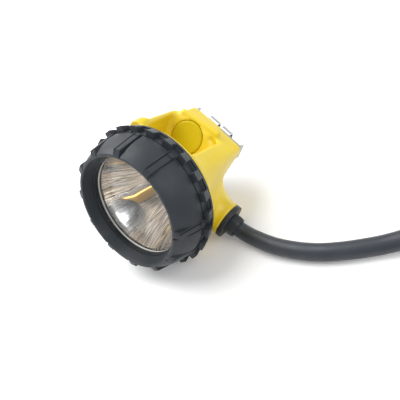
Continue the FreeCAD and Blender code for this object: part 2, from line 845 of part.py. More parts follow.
def rear_outline(inset):
    """Sixteen points round the rear face: each side's ends and middle, and each corner's middle."""
    half = float(s.rear_half_width) - inset
    foot = float(s.rear_foot_width) - inset
    corners = [Vector(half, float(s.rear_top) - inset, 0), Vector(-half, float(s.rear_top) - inset, 0),
               Vector(-foot, inset - float(s.rear_foot), 0), Vector(foot, inset - float(s.rear_foot), 0)]
    rounding = float(s.rear_corner) - inset / 2
    arcs = []
    for index, corner in enumerate(corners):
        inward = (corners[index - 1] - corner).normalize()
        outward = (corners[(index + 1) % 4] - corner).normalize()
        half_angle = inward.getAngle(outward) / 2
        reach = rounding / math.tan(half_angle)
        bisector = (inward + outward).normalize()
        middle = corner + bisector * (rounding / math.sin(half_angle) - rounding)
        arcs.append((corner + inward * reach, middle, corner + outward * reach))
    points = []
    for index, (start, middle, end) in enumerate(arcs):
        following = arcs[(index + 1) % 4][0]
        side = (end + following) * 0.5
        out = Vector(following.y - end.y, end.x - following.x, 0).normalize()
        if out.dot(side) < 0:
            out = out * -1
        points += [start, middle, end, side + out * float(s.rear_crown)]
    return points


def shell_loft(front, front_radius, inset):
    """Loft from a circle behind the bezel to the rear face, drawn in faster near the front."""
    frame = rear_frame.multiply(Placement(Vector(0, 0, inset), Rotation()))
    outline = [frame.multVec(point) for point in rear_outline(inset)]
    wires = []
    for share in SHELL_STATIONS:
        drawn = share ** float(s.shell_power)
        ring = []
        for point in outline:
            angle = math.atan2(point.y, point.x)
            on_circle = Vector(front_radius * math.cos(angle), front_radius * math.sin(angle), front)
            x = on_circle.x + (point.x - on_circle.x) * drawn
            y = on_circle.y + (point.y - on_circle.y) * drawn
            ring.append(Vector(x, y, front + (point.z - front) * share))
        arcs = []
        for index in range(0, 16, 2):
            arcs.append(Part.Arc(ring[index], ring[index + 1], ring[(index + 2) % 16]).toShape())
        wires.append(Part.Wire(arcs))
    return Part.makeLoft(wires, True, False)


def outlet_solid(start, end):
    """The flare that runs out to the gland, turned about the gland's axis."""
    begin = float(s.flare_start)

    def radius(reach):
        away = begin - reach
        return float(s.outlet_radius) + float(s.outlet_flare) * (away + math.hypot(away, float(s.flare_bend)))

    reaches = [start + (end - start) * step / CURVE_STEPS for step in range(CURVE_STEPS + 1)]
    spline = Part.BSplineCurve()
    spline.interpolate([Vector(radius(reach), 0, reach) for reach in reaches])
    outline = Part.Wire([spline.toShape(), Part.makeLine(Vector(radius(end), 0, end), Vector(0, 0, end)),
                         Part.makeLine(Vector(0, 0, end), Vector(0, 0, start)),
                         Part.makeLine(Vector(0, 0, start), Vector(radius(start), 0, start))])
    return in_frame(Part.Face(outline).revolve(Vector(), Vector(0, 0, 1), 360), gland_frame)


def in_frame(shape, frame):
    """The shape carried over from a local frame into the beam frame."""
    moved = shape.copy()
    moved.Placement = frame.multiply(moved.Placement)
    return moved


def side_prism(points, x0, x1):
    """A block along X from an outline of depth behind the bezel and height above the axis."""
    face = polygon_face([Vector(float(x0), y, z) for z, y in points])
    return face.extrude(Vector(float(x1) - float(x0), 0, 0))


def pod_point(y):
    """Depth and height of a point on the button's face, y along its slope."""
    point = pod_frame.multVec(Vector(0, float(y), 0))
    return (point.z, point.y)


flange_front = -float(s.flange_gap)
flange_back = flange_front - float(s.flange_thick)
wall = float(s.wall)
pod_left = float(s.pod_side) - float(s.pod_half_width)
pod_right = float(s.pod_side) + float(s.pod_half_width)
well_radius = float(s.button_radius) + float(s.button_gap)
well_level = s.button_proud_height - s.button_thick - s.button_travel - s.button_gap
web_level = well_level - s.web_thick
stem_end = web_level + s.stem_set_in
well_floor = float(well_level)
web_back = float(web_level)
plunger_top = float(stem_end)
pocket_floor = well_floor - float(s.spring_pocket)
switch_face = web_back - float(s.switch_drop)
lug_middle = polar(lug_circle, float(s.lug_angle))
plate_back_face = -float(s.plate_thick) - float(s.seat_gap)
plate_screw_height = float(s.rear_top) - float(s.plate_screw_drop)
plate_screw_points = [
    Vector(float(s.plate_screw_side), plate_screw_height, 0),
    Vector(-float(s.plate_screw_side), plate_screw_height, 0),
    Vector(0, float(s.plate_screw_foot) - float(s.plate_foot), 0),
]
ear_points = [Vector(side * (float(s.ear_reach) - float(s.ear_screw_inset)), 0, 0) for side in (-1, 1)]


def make_housing():
    outer = shell_loft(flange_back + SINK_IN, float(shell_radius), 0.0)
    behind = in_frame(box(-FAR, FAR, -FAR, FAR, -FAR, 0), rear_frame)
    flange = rod(flange_radius, along_z(flange_back), along_z(flange_front))
    neck = rod(s.neck_radius, along_z(flange_back), along_z(s.neck_length))
    collar_start = float(s.outlet_reach) - float(s.collar_length)
    outlet = outlet_solid(float(s.outlet_inside), collar_start + SINK_IN)
    outlet = outlet.cut(box(-FAR, FAR, -FAR, FAR, flange_back + PAST, FAR))
    collar = in_frame(rod(s.collar_radius, along_z(collar_start), along_z(s.outlet_reach)), gland_frame)
    ridge = pod_point(s.pod_ridge)
    foot = pod_point(-float(s.pod_foot))
    run = rear_depth
    fall = math.tan(math.radians(float(s.pod_fall)))
    deep = foot[1] - wall
    pod = side_prism([foot, ridge, (ridge[0] - run, ridge[1] - run * fall), (ridge[0] - run, deep),
                      (foot[0] - PAST, deep)], pod_left, pod_right)
    pod = pod.cut(behind)
    lug_top = lug_middle + along_z(flange_front)
    lug = rod(s.lug_radius, lug_top, lug_top - along_z(s.lug_length))
    body = outer.fuse([flange, neck, outlet, collar, pod, lug])

    def scoop(extra):
        """The finger scoop in front of the button's face, grown by a wall for the hollow inside."""
        slope_front = flange_back + extra
        face_foot = pod_point(-float(s.pod_foot) - extra)
        face_top = pod_point(FAR)
        shift_back = extra / math.sin(math.radians(float(s.pod_pitch)))
        points = [
            (face_foot[0] - shift_back, face_foot[1] - extra / 2),
            (face_top[0] - shift_back, face_top[1]),
            (slope_front, face_top[1]),
            (slope_front, float(s.neck_radius) + float(s.scoop_step) - extra),
        ]
        return side_prism(points, pod_left - extra, pod_right + extra)

    body = body.cut(scoop(0.0))
    hollow = shell_loft(flange_back - TOUCH, float(shell_radius) - wall, wall)
    hollow = hollow.cut(scoop(wall))
    mouth_front = along_z(float(s.neck_length) + PAST)
    mouth = rod(s.neck_radius - s.neck_wall, along_z(flange_back - PAST), mouth_front)
    body = body.cut([hollow, mouth])

    inner_parts = []
    gland_boss = in_frame(rod(s.outlet_boss, along_z(shoulder_back), along_z(collar_start)), gland_frame)
    inner_parts.append(gland_boss)
    for angle in POST_ANGLES:
        post = polar(s.post_circle_radius, angle)
        inner_parts.append(rod(s.post_radius, post - along_z(FAR),
                               post + along_z(sink_back - float(s.seat_gap))).common(outer))
    for point in stand_points:
        inner_parts.append(rod(s.stand_radius, Vector(point.x, point.y, -FAR),
                               Vector(point.x, point.y, stand_front)).common(outer))
    for point in plate_screw_points:
        boss = in_frame(rod(s.boss_radius, point, point + along_z(s.boss_length)), rear_frame)
        inner_parts.append(boss.common(outer))
    button_boss = in_frame(rod(well_radius + float(s.button_boss_wall), along_z(-SINK_IN), along_z(web_back)),
                           pod_frame)
    inner_parts.append(button_boss.common(outer.fuse(pod)).cut(scoop(0.0)))
    body = body.fuse(inner_parts)

    anchor_room = float(s.anchor_radius) + float(s.anchor_clear)
    cord_way = float(cord_bore) + float(s.cord_clear)
    bores = [
        in_frame(rod(anchor_room, along_z(s.outlet_boss), along_z(shoulder_back)), gland_frame),
        in_frame(rod(s.outlet_bore, along_z(shoulder), along_z(FAR)), gland_frame),
        in_frame(rod(cord_way, along_z(s.outlet_boss), along_z(FAR)), gland_frame),
    ]
    for angle in POST_ANGLES:
        top = polar(s.post_circle_radius, angle, sink_back + PAST)
        bores.append(rod(s.screw_bore, top, top - along_z(float(s.sink_screw_bite) + 2 * PAST)))
    for point in stand_points:
        top = Vector(point.x, point.y, stand_front + PAST)
        bores.append(rod(s.screw_bore, top, top - along_z(float(s.driver_screw_bite) + 2 * PAST)))
    for point in plate_screw_points:
        inner_end = point + along_z(float(s.boss_length) - float(s.boss_floor))
        bores.append(in_frame(rod(s.screw_bore, point - along_z(PAST), inner_end), rear_frame))
    lock_hole = float(s.lock_radius) + float(s.seat_gap)
    bores.append(rod(lock_hole, lug_middle + along_z(PAST), lug_middle - along_z(FAR)))
    bores.append(in_frame(rod(well_radius, along_z(well_floor), along_z(s.lug_radius)), pod_frame))
    stem_hole = float(s.stem_radius) + float(s.stem_gap)
    bores.append(in_frame(rod(stem_hole, along_z(web_back - PAST), along_z(PAST)), pod_frame))
    spring_room = float(s.spring_radius) + float(s.spring_clear)
    pocket = rod(spring_room, along_z(pocket_floor), along_z(well_floor + PAST / 2))
    spring_core = float(s.spring_radius) - float(s.spring_clear)
    core = rod(spring_core, along_z(pocket_floor - PAST), along_z(well_floor + PAST))
    bores.append(in_frame(pocket.cut(core), pod_frame))
    wiper_seat = float(s.stem_radius) + 2 * float(s.wiper_gap) + float(s.wiper_width)
    wiper_room = float(s.wiper_thick) + float(s.wiper_gap)
    wiper_bore = rod(wiper_seat, along_z(web_back - PAST), along_z(web_back + wiper_room))
    bores.append(in_frame(wiper_bore, pod_frame))
    for point in ear_points:
        bores.append(in_frame(rod(s.ear_screw_bore, point + along_z(web_back - PAST),
                                  point + along_z(web_back + float(s.ear_screw_bite))), pod_frame))
    groove = ring_of_rubber(seal_middle, s.seal_section, s.seal_place)
    return body.cut(bores + [groove]).removeSplitter()


add_shape("housing", make_housing(), lie)
lock_tip = flange_front - float(s.lock_clear)
lock_back = flange_front - float(s.lug_length) - float(s.lock_proud)
lock = rod(s.lock_radius, lug_middle + along_z(lock_tip), lug_middle + along_z(lock_back))
add_shape("lock_screw", lock, lie)

# Button and switch

pod_place = lie.multiply(pod_frame)
button_top = s.button_proud_height
button_under = s.button_proud_height - s.button_thick
turned("switch_button", [
    (0, button_top), (s.button_radius, button_top), (s.button_radius, button_under),
    (s.stem_radius, button_under), (s.stem_radius, stem_end), (0, stem_end),
], pod_place)
plunger_tip = plunger_top - float(s.plunger_length)
plunger = rod(s.plunger_radius, along_z(plunger_top - float(s.seat_gap)), along_z(plunger_tip))
add_shape("switch_plunger", plunger, pod_place)


def make_spring():
    """A helix between the pocket's floor and the button's underside, in arcs of a quarter turn."""
    wire = float(s.spring_wire)
    radius = float(s.spring_radius)
    low = pocket_floor + wire + float(s.seat_gap)
    high = float(button_under) - wire - float(s.seat_gap)
    count = int(4 * float(s.spring_turns))
    rise = (high - low) / count
    points = [polar(radius, 90.0 * index, low + rise * index) for index in range(count + 1)]
    climb = rise / (math.pi / 2)
    ways = [Vector(-point.y, point.x, climb).normalize() for point in points]
    spring, _, _ = wound(points, ways, wire, wire)
    return spring


add_shape("button_spring", make_spring(), pod_place)
wiper_inner = s.stem_radius + s.wiper_gap
wiper_outer = wiper_inner + s.wiper_width
wiper_back = web_level + s.seat_gap
wiper_front = wiper_back + s.wiper_thick
turned("button_seal", [
    (wiper_inner, wiper_back),
    (wiper_outer, wiper_back),
    (wiper_outer, wiper_front),
    (wiper_inner, wiper_front),
], pod_place)


def make_switch():
    half = float(s.switch_side) / 2
    body = box(-half, half, -half, half, switch_face - float(s.switch_depth), switch_face)
    ear_top = web_back - float(s.seat_gap)
    ear = box(-float(s.ear_reach), float(s.ear_reach), -float(s.ear_width) / 2, float(s.ear_width) / 2,
              ear_top - float(s.ear_thick), ear_top)
    clear = float(s.switch_clear)
    pressed = plunger_tip - float(s.button_travel) - clear
    holes = [
        rod(float(s.stem_radius) + clear, along_z(web_back + PAST), along_z(switch_face)),
        rod(float(s.plunger_radius) + float(s.plunger_gap), along_z(web_back + PAST), along_z(pressed)),
    ]
    for point in ear_points:
        holes.append(rod(float(s.ear_screw_bore) + float(s.screw_clear), point - along_z(FAR), point))
    return body.fuse(ear).cut(holes)


add_shape("switch_body", make_switch(), pod_place)
ear_screws = []
ear_back = web_back - float(s.seat_gap) * 2 - float(s.ear_thick)
for point in ear_points:
    ear_screws.append(pan_screw(s.ear_screw_head, point + along_z(ear_back), Vector(0, 0, 1),
                                float(s.ear_screw_bore) - float(s.seat_gap),
                                float(s.ear_thick) + float(s.ear_screw_bite) - float(s.seat_gap)))
add_shape("switch_screws", Part.makeCompound(ear_screws), pod_place)

# Rear steelwork

rear_place = lie.multiply(rear_frame)
plate_top = float(s.rear_top) - float(s.plate_margin)
rivet_hole = float(s.rivet_radius) + float(s.rivet_gap)
hook_front = plate_back_face - float(s.seat_gap)
hook_back = hook_front - float(s.hook_sheet)


def make_back_plate():
    half = float(s.plate_half_width)
    top = plate_top
    sheet = float(s.plate_thick)
    plate = box(-half, half, -float(s.plate_foot), top, plate_back_face, -float(s.seat_gap))
    curls = []
    for side in (-1, 1):
        edge = side * half
        curls.append(box(min(edge, edge - side * sheet), max(edge, edge - side * sheet),
                         top - float(s.plate_curl_height), top,
                         plate_back_face - float(s.plate_curl), plate_back_face + sheet / 2))
    holes = []
    for point in plate_screw_points:
        holes.append(rod(screw_hole, point - along_z(sheet + PAST), point + along_z(PAST)))
    for side in (-1, 1):
        rivet = Vector(side * float(s.rivet_space), hook_rivet_height, 0)
        holes.append(rod(rivet_hole, rivet - along_z(sheet + PAST), rivet + along_z(PAST)))
    return plate.fuse(curls).cut(holes)


hook_top = plate_top - float(s.hook_gap) / 2
hook_rivet_height = hook_top - float(s.hook_base) + float(s.rivet_margin)


def rivet_cone(side, grow):
    """The countersunk head of a rivet, flush with the hook's face, grown for the hole that takes it."""
    foot = Vector(side * float(s.rivet_space), hook_rivet_height, hook_back)
    wide = float(s.rivet_head) + grow
    return Part.makeCone(wide, float(s.rivet_radius) + grow, float(s.rivet_sink) + grow, foot)


def make_cap_hook():
    """One folded sheet: a base on the plate, two straps round the top and a tongue pointing down."""
    sheet = float(s.hook_sheet)
    gap = float(s.hook_gap)
    tongue_front = hook_back - gap
    outer_bend = sheet + gap / 2
    half = float(s.hook_width) / 2
    middle = (hook_front + tongue_front - sheet) / 2
    base = box(-half, half, hook_top - float(s.hook_base), hook_top, hook_back, hook_front)
    tongue = box(-half, half, hook_top - float(s.tongue_length), hook_top, tongue_front - sheet, tongue_front)
    bend = rod(outer_bend, Vector(-half, hook_top, middle), Vector(half, hook_top, middle))
    past = half + PAST
    bend = bend.cut(rod(gap / 2, Vector(-past, hook_top, middle), Vector(past, hook_top, middle)))
    bend = bend.cut(box(-past, past, hook_top - past, hook_top, middle - past, middle + past))
    hook = base.fuse([tongue, bend])
    high = hook_top - float(s.strap_length)
    inner_edge = float(s.strap_space) / 2
    outer_edge = inner_edge + float(s.strap_width)
    holes = [box(-inner_edge, inner_edge, high, hook_top + past, middle - past, middle + past)]
    for side in (-1, 1):
        holes.append(box(min(side * outer_edge, side * past), max(side * outer_edge, side * past), high,
                         hook_top + past, middle - past, middle + past))
        rivet = Vector(side * float(s.rivet_space), hook_rivet_height, hook_front)
        holes.append(rod(rivet_hole, rivet - along_z(sheet), rivet + along_z(PAST)))
        holes.append(rivet_cone(side, float(s.rivet_gap)))
    return hook.cut(holes)


add_shape("back_plate", make_back_plate(), rear_place)
add_shape("cap_hook", make_cap_hook(), rear_place)
rivets = []
for side in (-1, 1):
    head = rivet_cone(side, 0.0)
    shaft_start = Vector(side * float(s.rivet_space), hook_rivet_height, hook_back + float(s.rivet_sink) / 2)
    shaft = rod(s.rivet_radius, shaft_start, Vector(shaft_start.x, shaft_start.y, -float(s.seat_gap)))
    rivets.append(head.fuse(shaft))
add_shape("hook_rivets", Part.makeCompound(rivets), rear_place)
plate_screws = []
for point in plate_screw_points:
    under = Vector(point.x, point.y, plate_back_face - float(s.seat_gap))
    plate_screws.append(pan_screw(s.plate_screw_head, under, Vector(0, 0, 1), shank,
                                  float(s.plate_thick) + float(s.plate_screw_bite)))
add_shape("plate_screws", Part.makeCompound(plate_screws), rear_place)


# The headpiece is whole: its box gives the part's origin, in the middle of its foot

doc.recompute()
boxes = [piece.Shape.optimalBoundingBox() for piece in nodes]
middle_x = (min(b.XMin for b in boxes) + max(b.XMax for b in boxes)) / 2
middle_y = (min(b.YMin for b in boxes) + max(b.YMax for b in boxes)) / 2
foot_z = min(b.ZMin for b in boxes)
centring = Placement(Vector(-middle_x, -middle_y, -foot_z), Rotation())
for piece in nodes:
    piece.Placement = centring.multiply(piece.Placement)
gland_place = centring.multiply(gland_place)

# Free cable, coil and far end

coil_low = float(s.tie_thick) + float(s.tie_gap) + float(cord_radius)
coil_pitch = float(s.cord_diameter) + float(s.coil_space)
coil_high = coil_low + coil_pitch
coil_outer = float(s.coil_inner) + coil_pitch * float(s.coil_turns)
coil_middle = Vector(float(s.coil_side), float(s.coil_behind), 0)
total_turns = 2 * float(s.coil_turns) + 0.5


def coil_point(turn):
    """A point of the coil's middle line.

    It spirals in along the upper layer, steps down in the half turn where the spiral
    reverses, and spirals out again along the lower layer.
    """
    down = float(s.coil_turns)
    if turn <= down:
        radius = coil_outer - coil_pitch * turn
        height = coil_high
    elif turn >= down + 0.5:
        radius = float(s.coil_inner) + coil_pitch * (turn - down - 0.5)
        height = coil_low
    else:
        part = turn - down
        radius = float(s.coil_inner) - coil_pitch * part + 2 * coil_pitch * part ** 2
        height = coil_high + (coil_low - coil_high) * (1 - math.cos(2 * math.pi * part)) / 2
    angle = math.radians(90 + float(s.coil_heading)) - 2 * math.pi * turn
    return coil_middle + Vector(radius * math.cos(angle), radius * math.sin(angle), height)


def coil_tangent(turn):
    step = 0.0005
    return (coil_point(turn + step) - coil_point(turn - step)).normalize()


def make_coil():
    """One unbroken tube, straight for a diameter at both ends."""
    stations = [total_turns * index / COIL_QUARTERS for index in range(COIL_QUARTERS + 1)]
    points = [coil_point(turn) for turn in stations]
    ways = [coil_tangent(turn) for turn in stations]
    solid, length, bends = wound(points, ways, float(cord_radius), float(s.cord_diameter))
    print("coil: length %.1f, tightest bend %.1f" % (length, min(bends)))
    begin = points[0] - ways[0] * float(s.cord_diameter)
    finish = points[-1] + ways[-1] * float(s.cord_diameter)
    return solid, begin, ways[0], finish, ways[-1]


def coil_gap():
    """The least room between two turns, over points a hundredth of a turn apart."""
    count = int(total_turns * 100)
    points = [coil_point(total_turns * index / count) for index in range(count + 1)]
    least = min(
        points[first].distanceToPoint(points[second])
        for first in range(0, count + 1)
        for second in range(first + 50, count + 1)
    )
    return least - float(s.cord_diameter)


coil, coil_begin, coil_way, coil_end, coil_end_way = make_coil()
print("coil: least gap between turns %.2f" % coil_gap())

run_start = gland_place.multVec(Vector(0, 0, cord_start))
exit_way = gland_place.Rotation.multVec(Vector(0, 0, 1))
floor_height = float(cord_radius)
drop = (run_start.z - floor_height) / -exit_way.z
route = [run_start, run_start + exit_way * drop]
route += [Vector(x, y, floor_height) for x, y in CORD_ROUTE]
route.append(coil_begin - coil_way * float(s.coil_lead))
route.append(coil_begin)
run, run_length, run_radii = tube(route, cord_radius)
section = math.pi * float(cord_radius) ** 2
fullness = run.Volume / section / run_length
print("cord: length %.1f, volume over section times length %.4f" % (run_length, fullness))
print("cord: radii " + ", ".join("%.0f" % radius for radius in run_radii))
print("cord: route in metres", [tuple(round(c / 1000, 5) for c in point) for point in route])
add_shape("cord_run", run)
add_shape("cord_coil", coil)


def make_tie(degrees):
    """A flat strap round both layers, closed on itself."""
    turn_middle = (float(s.coil_inner) + coil_outer) / 2
    half_in = turn_middle - float(s.coil_inner) + float(cord_radius) + float(s.tie_gap) * 5 + coil_pitch / 8
    low = 0.0
    high = coil_high + float(cord_radius) + float(s.tie_gap) + float(s.tie_thick)
    thick = float(s.tie_thick)
    half_wide = float(s.tie_width) / 2
    outer = box(-half_in - thick, half_in + thick, -half_wide, half_wide, low, high)
    outer = outer.makeFillet(float(cord_radius) * 0.8, [edge for edge in outer.Edges
                             if abs(edge.tangentAt(edge.FirstParameter).y) > 0.9])
    inner = box(-half_in, half_in, -half_wide - 1, half_wide + 1, low + thick, high - thick)
    inner = inner.makeFillet(float(cord_radius) * 0.8 - thick, [edge for edge in inner.Edges
                             if abs(edge.tangentAt(edge.FirstParameter).y) > 0.9])
    tie = outer.cut(inner)
    angle = float(degrees)
    tie.Placement = Placement(coil_middle + polar(turn_middle, angle), Rotation(Vector(0, 0, 1), angle))
    return tie


add_shape("coil_ties", Part.makeCompound([make_tie(angle) for angle in TIE_ANGLES]))

boot_end = coil_end + coil_end_way * float(s.boot_length)
boot_start = coil_end - coil_end_way * float(s.boot_overlap)
boot = rod(float(cord_radius) + float(s.boot_wall), boot_start, boot_end)
boot = boot.cut(rod(cord_bore, boot_start - coil_end_way * PAST, coil_end))
add_shape("cord_boot", boot)
side_way = Vector(coil_end_way.y, -coil_end_way.x, 0)
tags = []
for name, side in (("tail_positive", 1), ("tail_negative", -1)):
    start = boot_end + side_way * (side * float(s.tail_spread) / 2)
    ahead = coil_end_way * float(s.tail_length) / 3
    drop_to = Vector(0, 0, float(s.tail_radius) + float(s.tail_lift) - start.z)
    spread = side_way * (side * float(s.tail_splay))
    points = [start, start + ahead * 0.7, start + ahead * 1.8 + drop_to + spread,
              start + ahead * 3 + drop_to + spread * 1.2]
    tail, _, _ = tube(points, s.tail_radius)
    add_shape(name, tail)
    way = (points[-1] - points[-2]).normalize()
    ring_middle = points[-1] + way * (float(s.terminal_radius) + float(s.terminal_neck))
    ring_middle.z = float(s.tail_lift)
    ring = rod(s.terminal_radius, ring_middle, ring_middle + along_z(s.terminal_thick))
    barrel = rod(float(s.tail_radius) + float(s.tail_lift), points[-1] + way * float(s.seat_gap),
                 points[-1] + way * float(s.terminal_barrel))
    hole = rod(s.terminal_hole, ring_middle - along_z(PAST), ring_middle + along_z(s.terminal_radius))
    tags.append(ring.fuse(barrel).cut(hole))
add_shape("ring_terminals", Part.makeCompound(tags))

doc.recompute()
for piece in nodes:
    state = [word for word in piece.State if word in ("Invalid", "Error")]
    if state or piece.Shape.isNull() or not piece.Shape.isValid():
        raise RuntimeError(piece.Label + " did not come out whole")
os.makedirs("parts", exist_ok=True)
for piece in nodes:
    piece.Shape.exportStep(os.path.join("parts", piece.Label + ".step"))
print("pieces: %d" % len(nodes))
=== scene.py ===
"""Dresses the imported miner's cap lamp: each visible piece gets its real form and finish.

Shapes are worked out in millimetres in the headpiece's beam frame: X runs to the cable gland,
Y to the top, where the button is, and Z forward along the beam, from the rear edge of the bezel.
LYING carries that frame to the part's frame, where the lamp lies on its side on the floor.
"""

from __future__ import annotations

import json
import logging
import math
from abc import ABC, abstractmethod
from dataclasses import dataclass, field
from enum import Enum
from typing import Callable, Sequence

import bmesh
import bpy
import numpy as np
from mathutils import Matrix, Vector

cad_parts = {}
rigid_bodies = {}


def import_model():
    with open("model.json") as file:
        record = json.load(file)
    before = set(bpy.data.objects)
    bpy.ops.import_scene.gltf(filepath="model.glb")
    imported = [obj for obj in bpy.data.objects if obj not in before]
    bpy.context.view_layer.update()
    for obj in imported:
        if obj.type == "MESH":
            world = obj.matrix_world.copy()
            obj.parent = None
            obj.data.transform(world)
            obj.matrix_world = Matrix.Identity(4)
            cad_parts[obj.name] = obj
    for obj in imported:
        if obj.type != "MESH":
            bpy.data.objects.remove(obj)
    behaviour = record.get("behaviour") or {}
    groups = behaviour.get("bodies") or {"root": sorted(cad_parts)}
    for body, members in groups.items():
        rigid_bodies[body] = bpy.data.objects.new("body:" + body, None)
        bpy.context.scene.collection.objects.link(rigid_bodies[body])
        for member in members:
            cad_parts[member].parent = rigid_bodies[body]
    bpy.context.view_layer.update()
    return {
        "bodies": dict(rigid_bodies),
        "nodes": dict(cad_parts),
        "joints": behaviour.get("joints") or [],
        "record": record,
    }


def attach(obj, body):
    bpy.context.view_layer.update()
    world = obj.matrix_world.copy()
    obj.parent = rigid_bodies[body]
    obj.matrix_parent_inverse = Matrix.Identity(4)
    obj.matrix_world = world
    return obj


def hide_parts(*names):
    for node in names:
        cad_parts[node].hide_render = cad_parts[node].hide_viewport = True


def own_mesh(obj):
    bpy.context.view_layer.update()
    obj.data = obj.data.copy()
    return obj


log = logging.getLogger("cap_lamp")

MM = 0.001

Point = tuple[float, float, float]
Colour = tuple[float, float, float]
Stops = tuple[tuple[float, Colour], ...]
Mesh = tuple[np.ndarray, np.ndarray]
PointMap = Callable[[np.ndarray], np.ndarray]
Socket = bpy.types.NodeSocket
Piece = bpy.types.Object


class Axis(int, Enum):
    """The three axes of a frame."""

    X = 0
    Y = 1
    Z = 2


@dataclass(frozen=True)
class Frame:
    """A rigid frame: its origin in millimetres, and its three unit axes as rows."""

    origin: Point
    axes: tuple[Point, ...]

    def carry(self, points: np.ndarray) -> np.ndarray:
        """Give points of this frame in the frame around it: origin plus each coordinate times its axis.

        Args:
            points: coordinates in this frame, in the last dimension.

        Returns:
            The same points in the surrounding frame.
        """
        return np.asarray(points, float) @ np.array(self.axes) + np.array(self.origin)

    def inside(self, outer: Frame) -> Frame:
        """Carry this frame over from outer to the frame around outer.

        Args:
            outer: the frame that this one is given in.

        Returns:
            This frame as the frame around outer sees it.
        """
        axes = np.array(self.axes) @ np.array(outer.axes)
        return Frame(tuple(outer.carry(self.origin)), tuple(map(tuple, axes)))


def turned_frame(origin: Sequence[float], about: Axis, degrees: float) -> Frame:
    """Make a frame that is turned about one axis of the frame around it.

    Args:
        origin: where the new frame starts, in millimetres.
        about: the axis that stays.
        degrees: the turn by the right-hand rule.

    Returns:
        The turned frame.
    """
    turn = Matrix.Rotation(math.radians(degrees), 3, "XYZ"[about])
    return Frame(tuple(origin), tuple(tuple(row) for row in turn.transposed()))


LYING = Frame(
    (-0.634425, -13.654225, 35.379144),
    ((0.8427435, -0.0991296, -0.5291094), (0.5291095, 0.3335332, 0.7802556),
     (0.0991291, -0.9375121, 0.3335334)),
)
REAR = turned_frame((0.0, 0.0, -46.0), Axis.Y, -9.8)
GLAND = turned_frame((0.0, 0.0, -18.4), Axis.Y, 90.0)
POD = turned_frame((-7.9, 20.5, -29.0), Axis.X, -26.0)


# Curves and grids


def rounded(corners: Sequence[Sequence[float]], radius: float, steps: int = 4) -> np.ndarray:
    """Round a polygon's corners with parabolas that start and end at radius from each corner.

    A point of a corner is A(1-t)^2 + 2Ct(1-t) + Bt^2, where C is the corner and A and B lie on its sides.

    Args:
        corners: the polygon's points.
        radius: the distance from a corner at which its rounding starts, cut to 45% of a short side.
        steps: points in each rounding, less one.

    Returns:
        The rounded outline's points.
    """
    points = np.asarray(corners, float)
    ends = []
    for shift in (1, -1):
        way = np.roll(points, shift, axis=0) - points
        length = np.linalg.norm(way, axis=1, keepdims=True)
        ends.append(points + way / length * np.minimum(radius, 0.45 * length))
    start, end = ends
    t = np.linspace(0.0, 1.0, steps + 1)[None, :, None]
    bends = start[:, None] * (1 - t) ** 2 + 2 * points[:, None] * t * (1 - t) + end[:, None] * t ** 2
    return bends.reshape(-1, points.shape[1])


def ring(inner: float, outer: float, low: float, high: float, edge: float, steps: int = 3) -> np.ndarray:
    """Draw a ring's section between two radii and two heights, with rounded corners."""
    return rounded([(inner, low), (outer, low), (outer, high), (inner, high)], edge, steps)


def finely(points: np.ndarray, longest: float) -> np.ndarray:
    """Add points on a closed line's long segments, evenly, so that none is longer than longest.

    Args:
        points: the line's points.
        longest: the longest segment that may stay.

    Returns:
        The points with those added.
    """
    following = np.roll(points, -1, axis=0)
    count = np.maximum(1, np.ceil(np.linalg.norm(following - points, axis=1) / longest)).astype(int)
    index = np.repeat(np.arange(len(points)), count)
    first = np.concatenate([[0], np.cumsum(count)[:-1]])
    share = (np.arange(len(index)) - first[index]) / count[index]
    return points[index] + (following[index] - points[index]) * share[:, None]


def turned(radius: np.ndarray, height: np.ndarray, angle: np.ndarray) -> Mesh:
    """Turn a closed section about Z: x = r cos(angle), y = r sin(angle), z as in the section.

    Args:
        radius: the section's radii, in one row or in a row for each angle.
        height: the section's heights.
        angle: a column of angles in radians, once round the axis.

    Returns:
        The points and the quads.
    """
    x, y = radius * np.cos(angle), radius * np.sin(angle)
    points = np.stack([x, y, np.broadcast_to(height, x.shape)], -1)
    rows, columns = x.shape
    i, j = np.arange(rows)[:, None], np.arange(columns)[None, :]
    down, right = (i + 1) % rows, (j + 1) % columns
    corners = (i * columns + j, down * columns + j, down * columns + right, i * columns + right)
    return points.reshape(-1, 3), np.stack(np.broadcast_arrays(*corners), -1).reshape(-1, 4)


def lathe(section: np.ndarray, segments: int) -> Mesh:
    """Turn a closed section of radii and heights about Z, in even steps."""
    angle = np.linspace(0.0, 2 * math.pi, segments, endpoint=False)[:, None]
    return turned(section[None, :, 0], section[None, :, 1], angle)


def wrapped(value: np.ndarray, period: float = 2 * math.pi) -> np.ndarray:
    """Bring a value that repeats to within half a period of zero."""
    return (value + period / 2) % period - period / 2


def smooth_step(past: np.ndarray, width: float) -> np.ndarray:
    """Rise from 0 to 1 as t t (3 - 2 t), with t from 0 to 1 over the width on both sides of zero."""
    t = np.clip(0.5 + past / (2 * width), 0.0, 1.0)
    return t * t * (3 - 2 * t)


def signed_volume(points: np.ndarray, quads: np.ndarray) -> float:
    """Add up the tetrahedra between the origin and each quad's two triangles.

    Args:
        points: the mesh's points.
        quads: its faces.

    Returns:
        The volume, negative where the faces point inwards.
    """
    a, b, c, d = (points[quads[:, k]] for k in range(4))
    halves = np.cross(b, c) + np.cross(c, d)
    return float(np.einsum("ij,ij->", a, halves) / 6)


# Smooth solids as distance functions


def smooth_min(a: np.ndarray, b: np.ndarray, blend: float) -> np.ndarray:
    """Join two solids with a fillet: the lesser distance, less h(1-h) times the blend, h being the mix.

    Args:
        a: distance outside the first solid, negative inside it.
        b: the same for the second.
        blend: the size of the fillet.

    Returns:
        The distance outside both together.
    """
    mix = np.clip(0.5 + 0.5 * (b - a) / blend, 0.0, 1.0)
    return b + (a - b) * mix - blend * mix * (1 - mix)


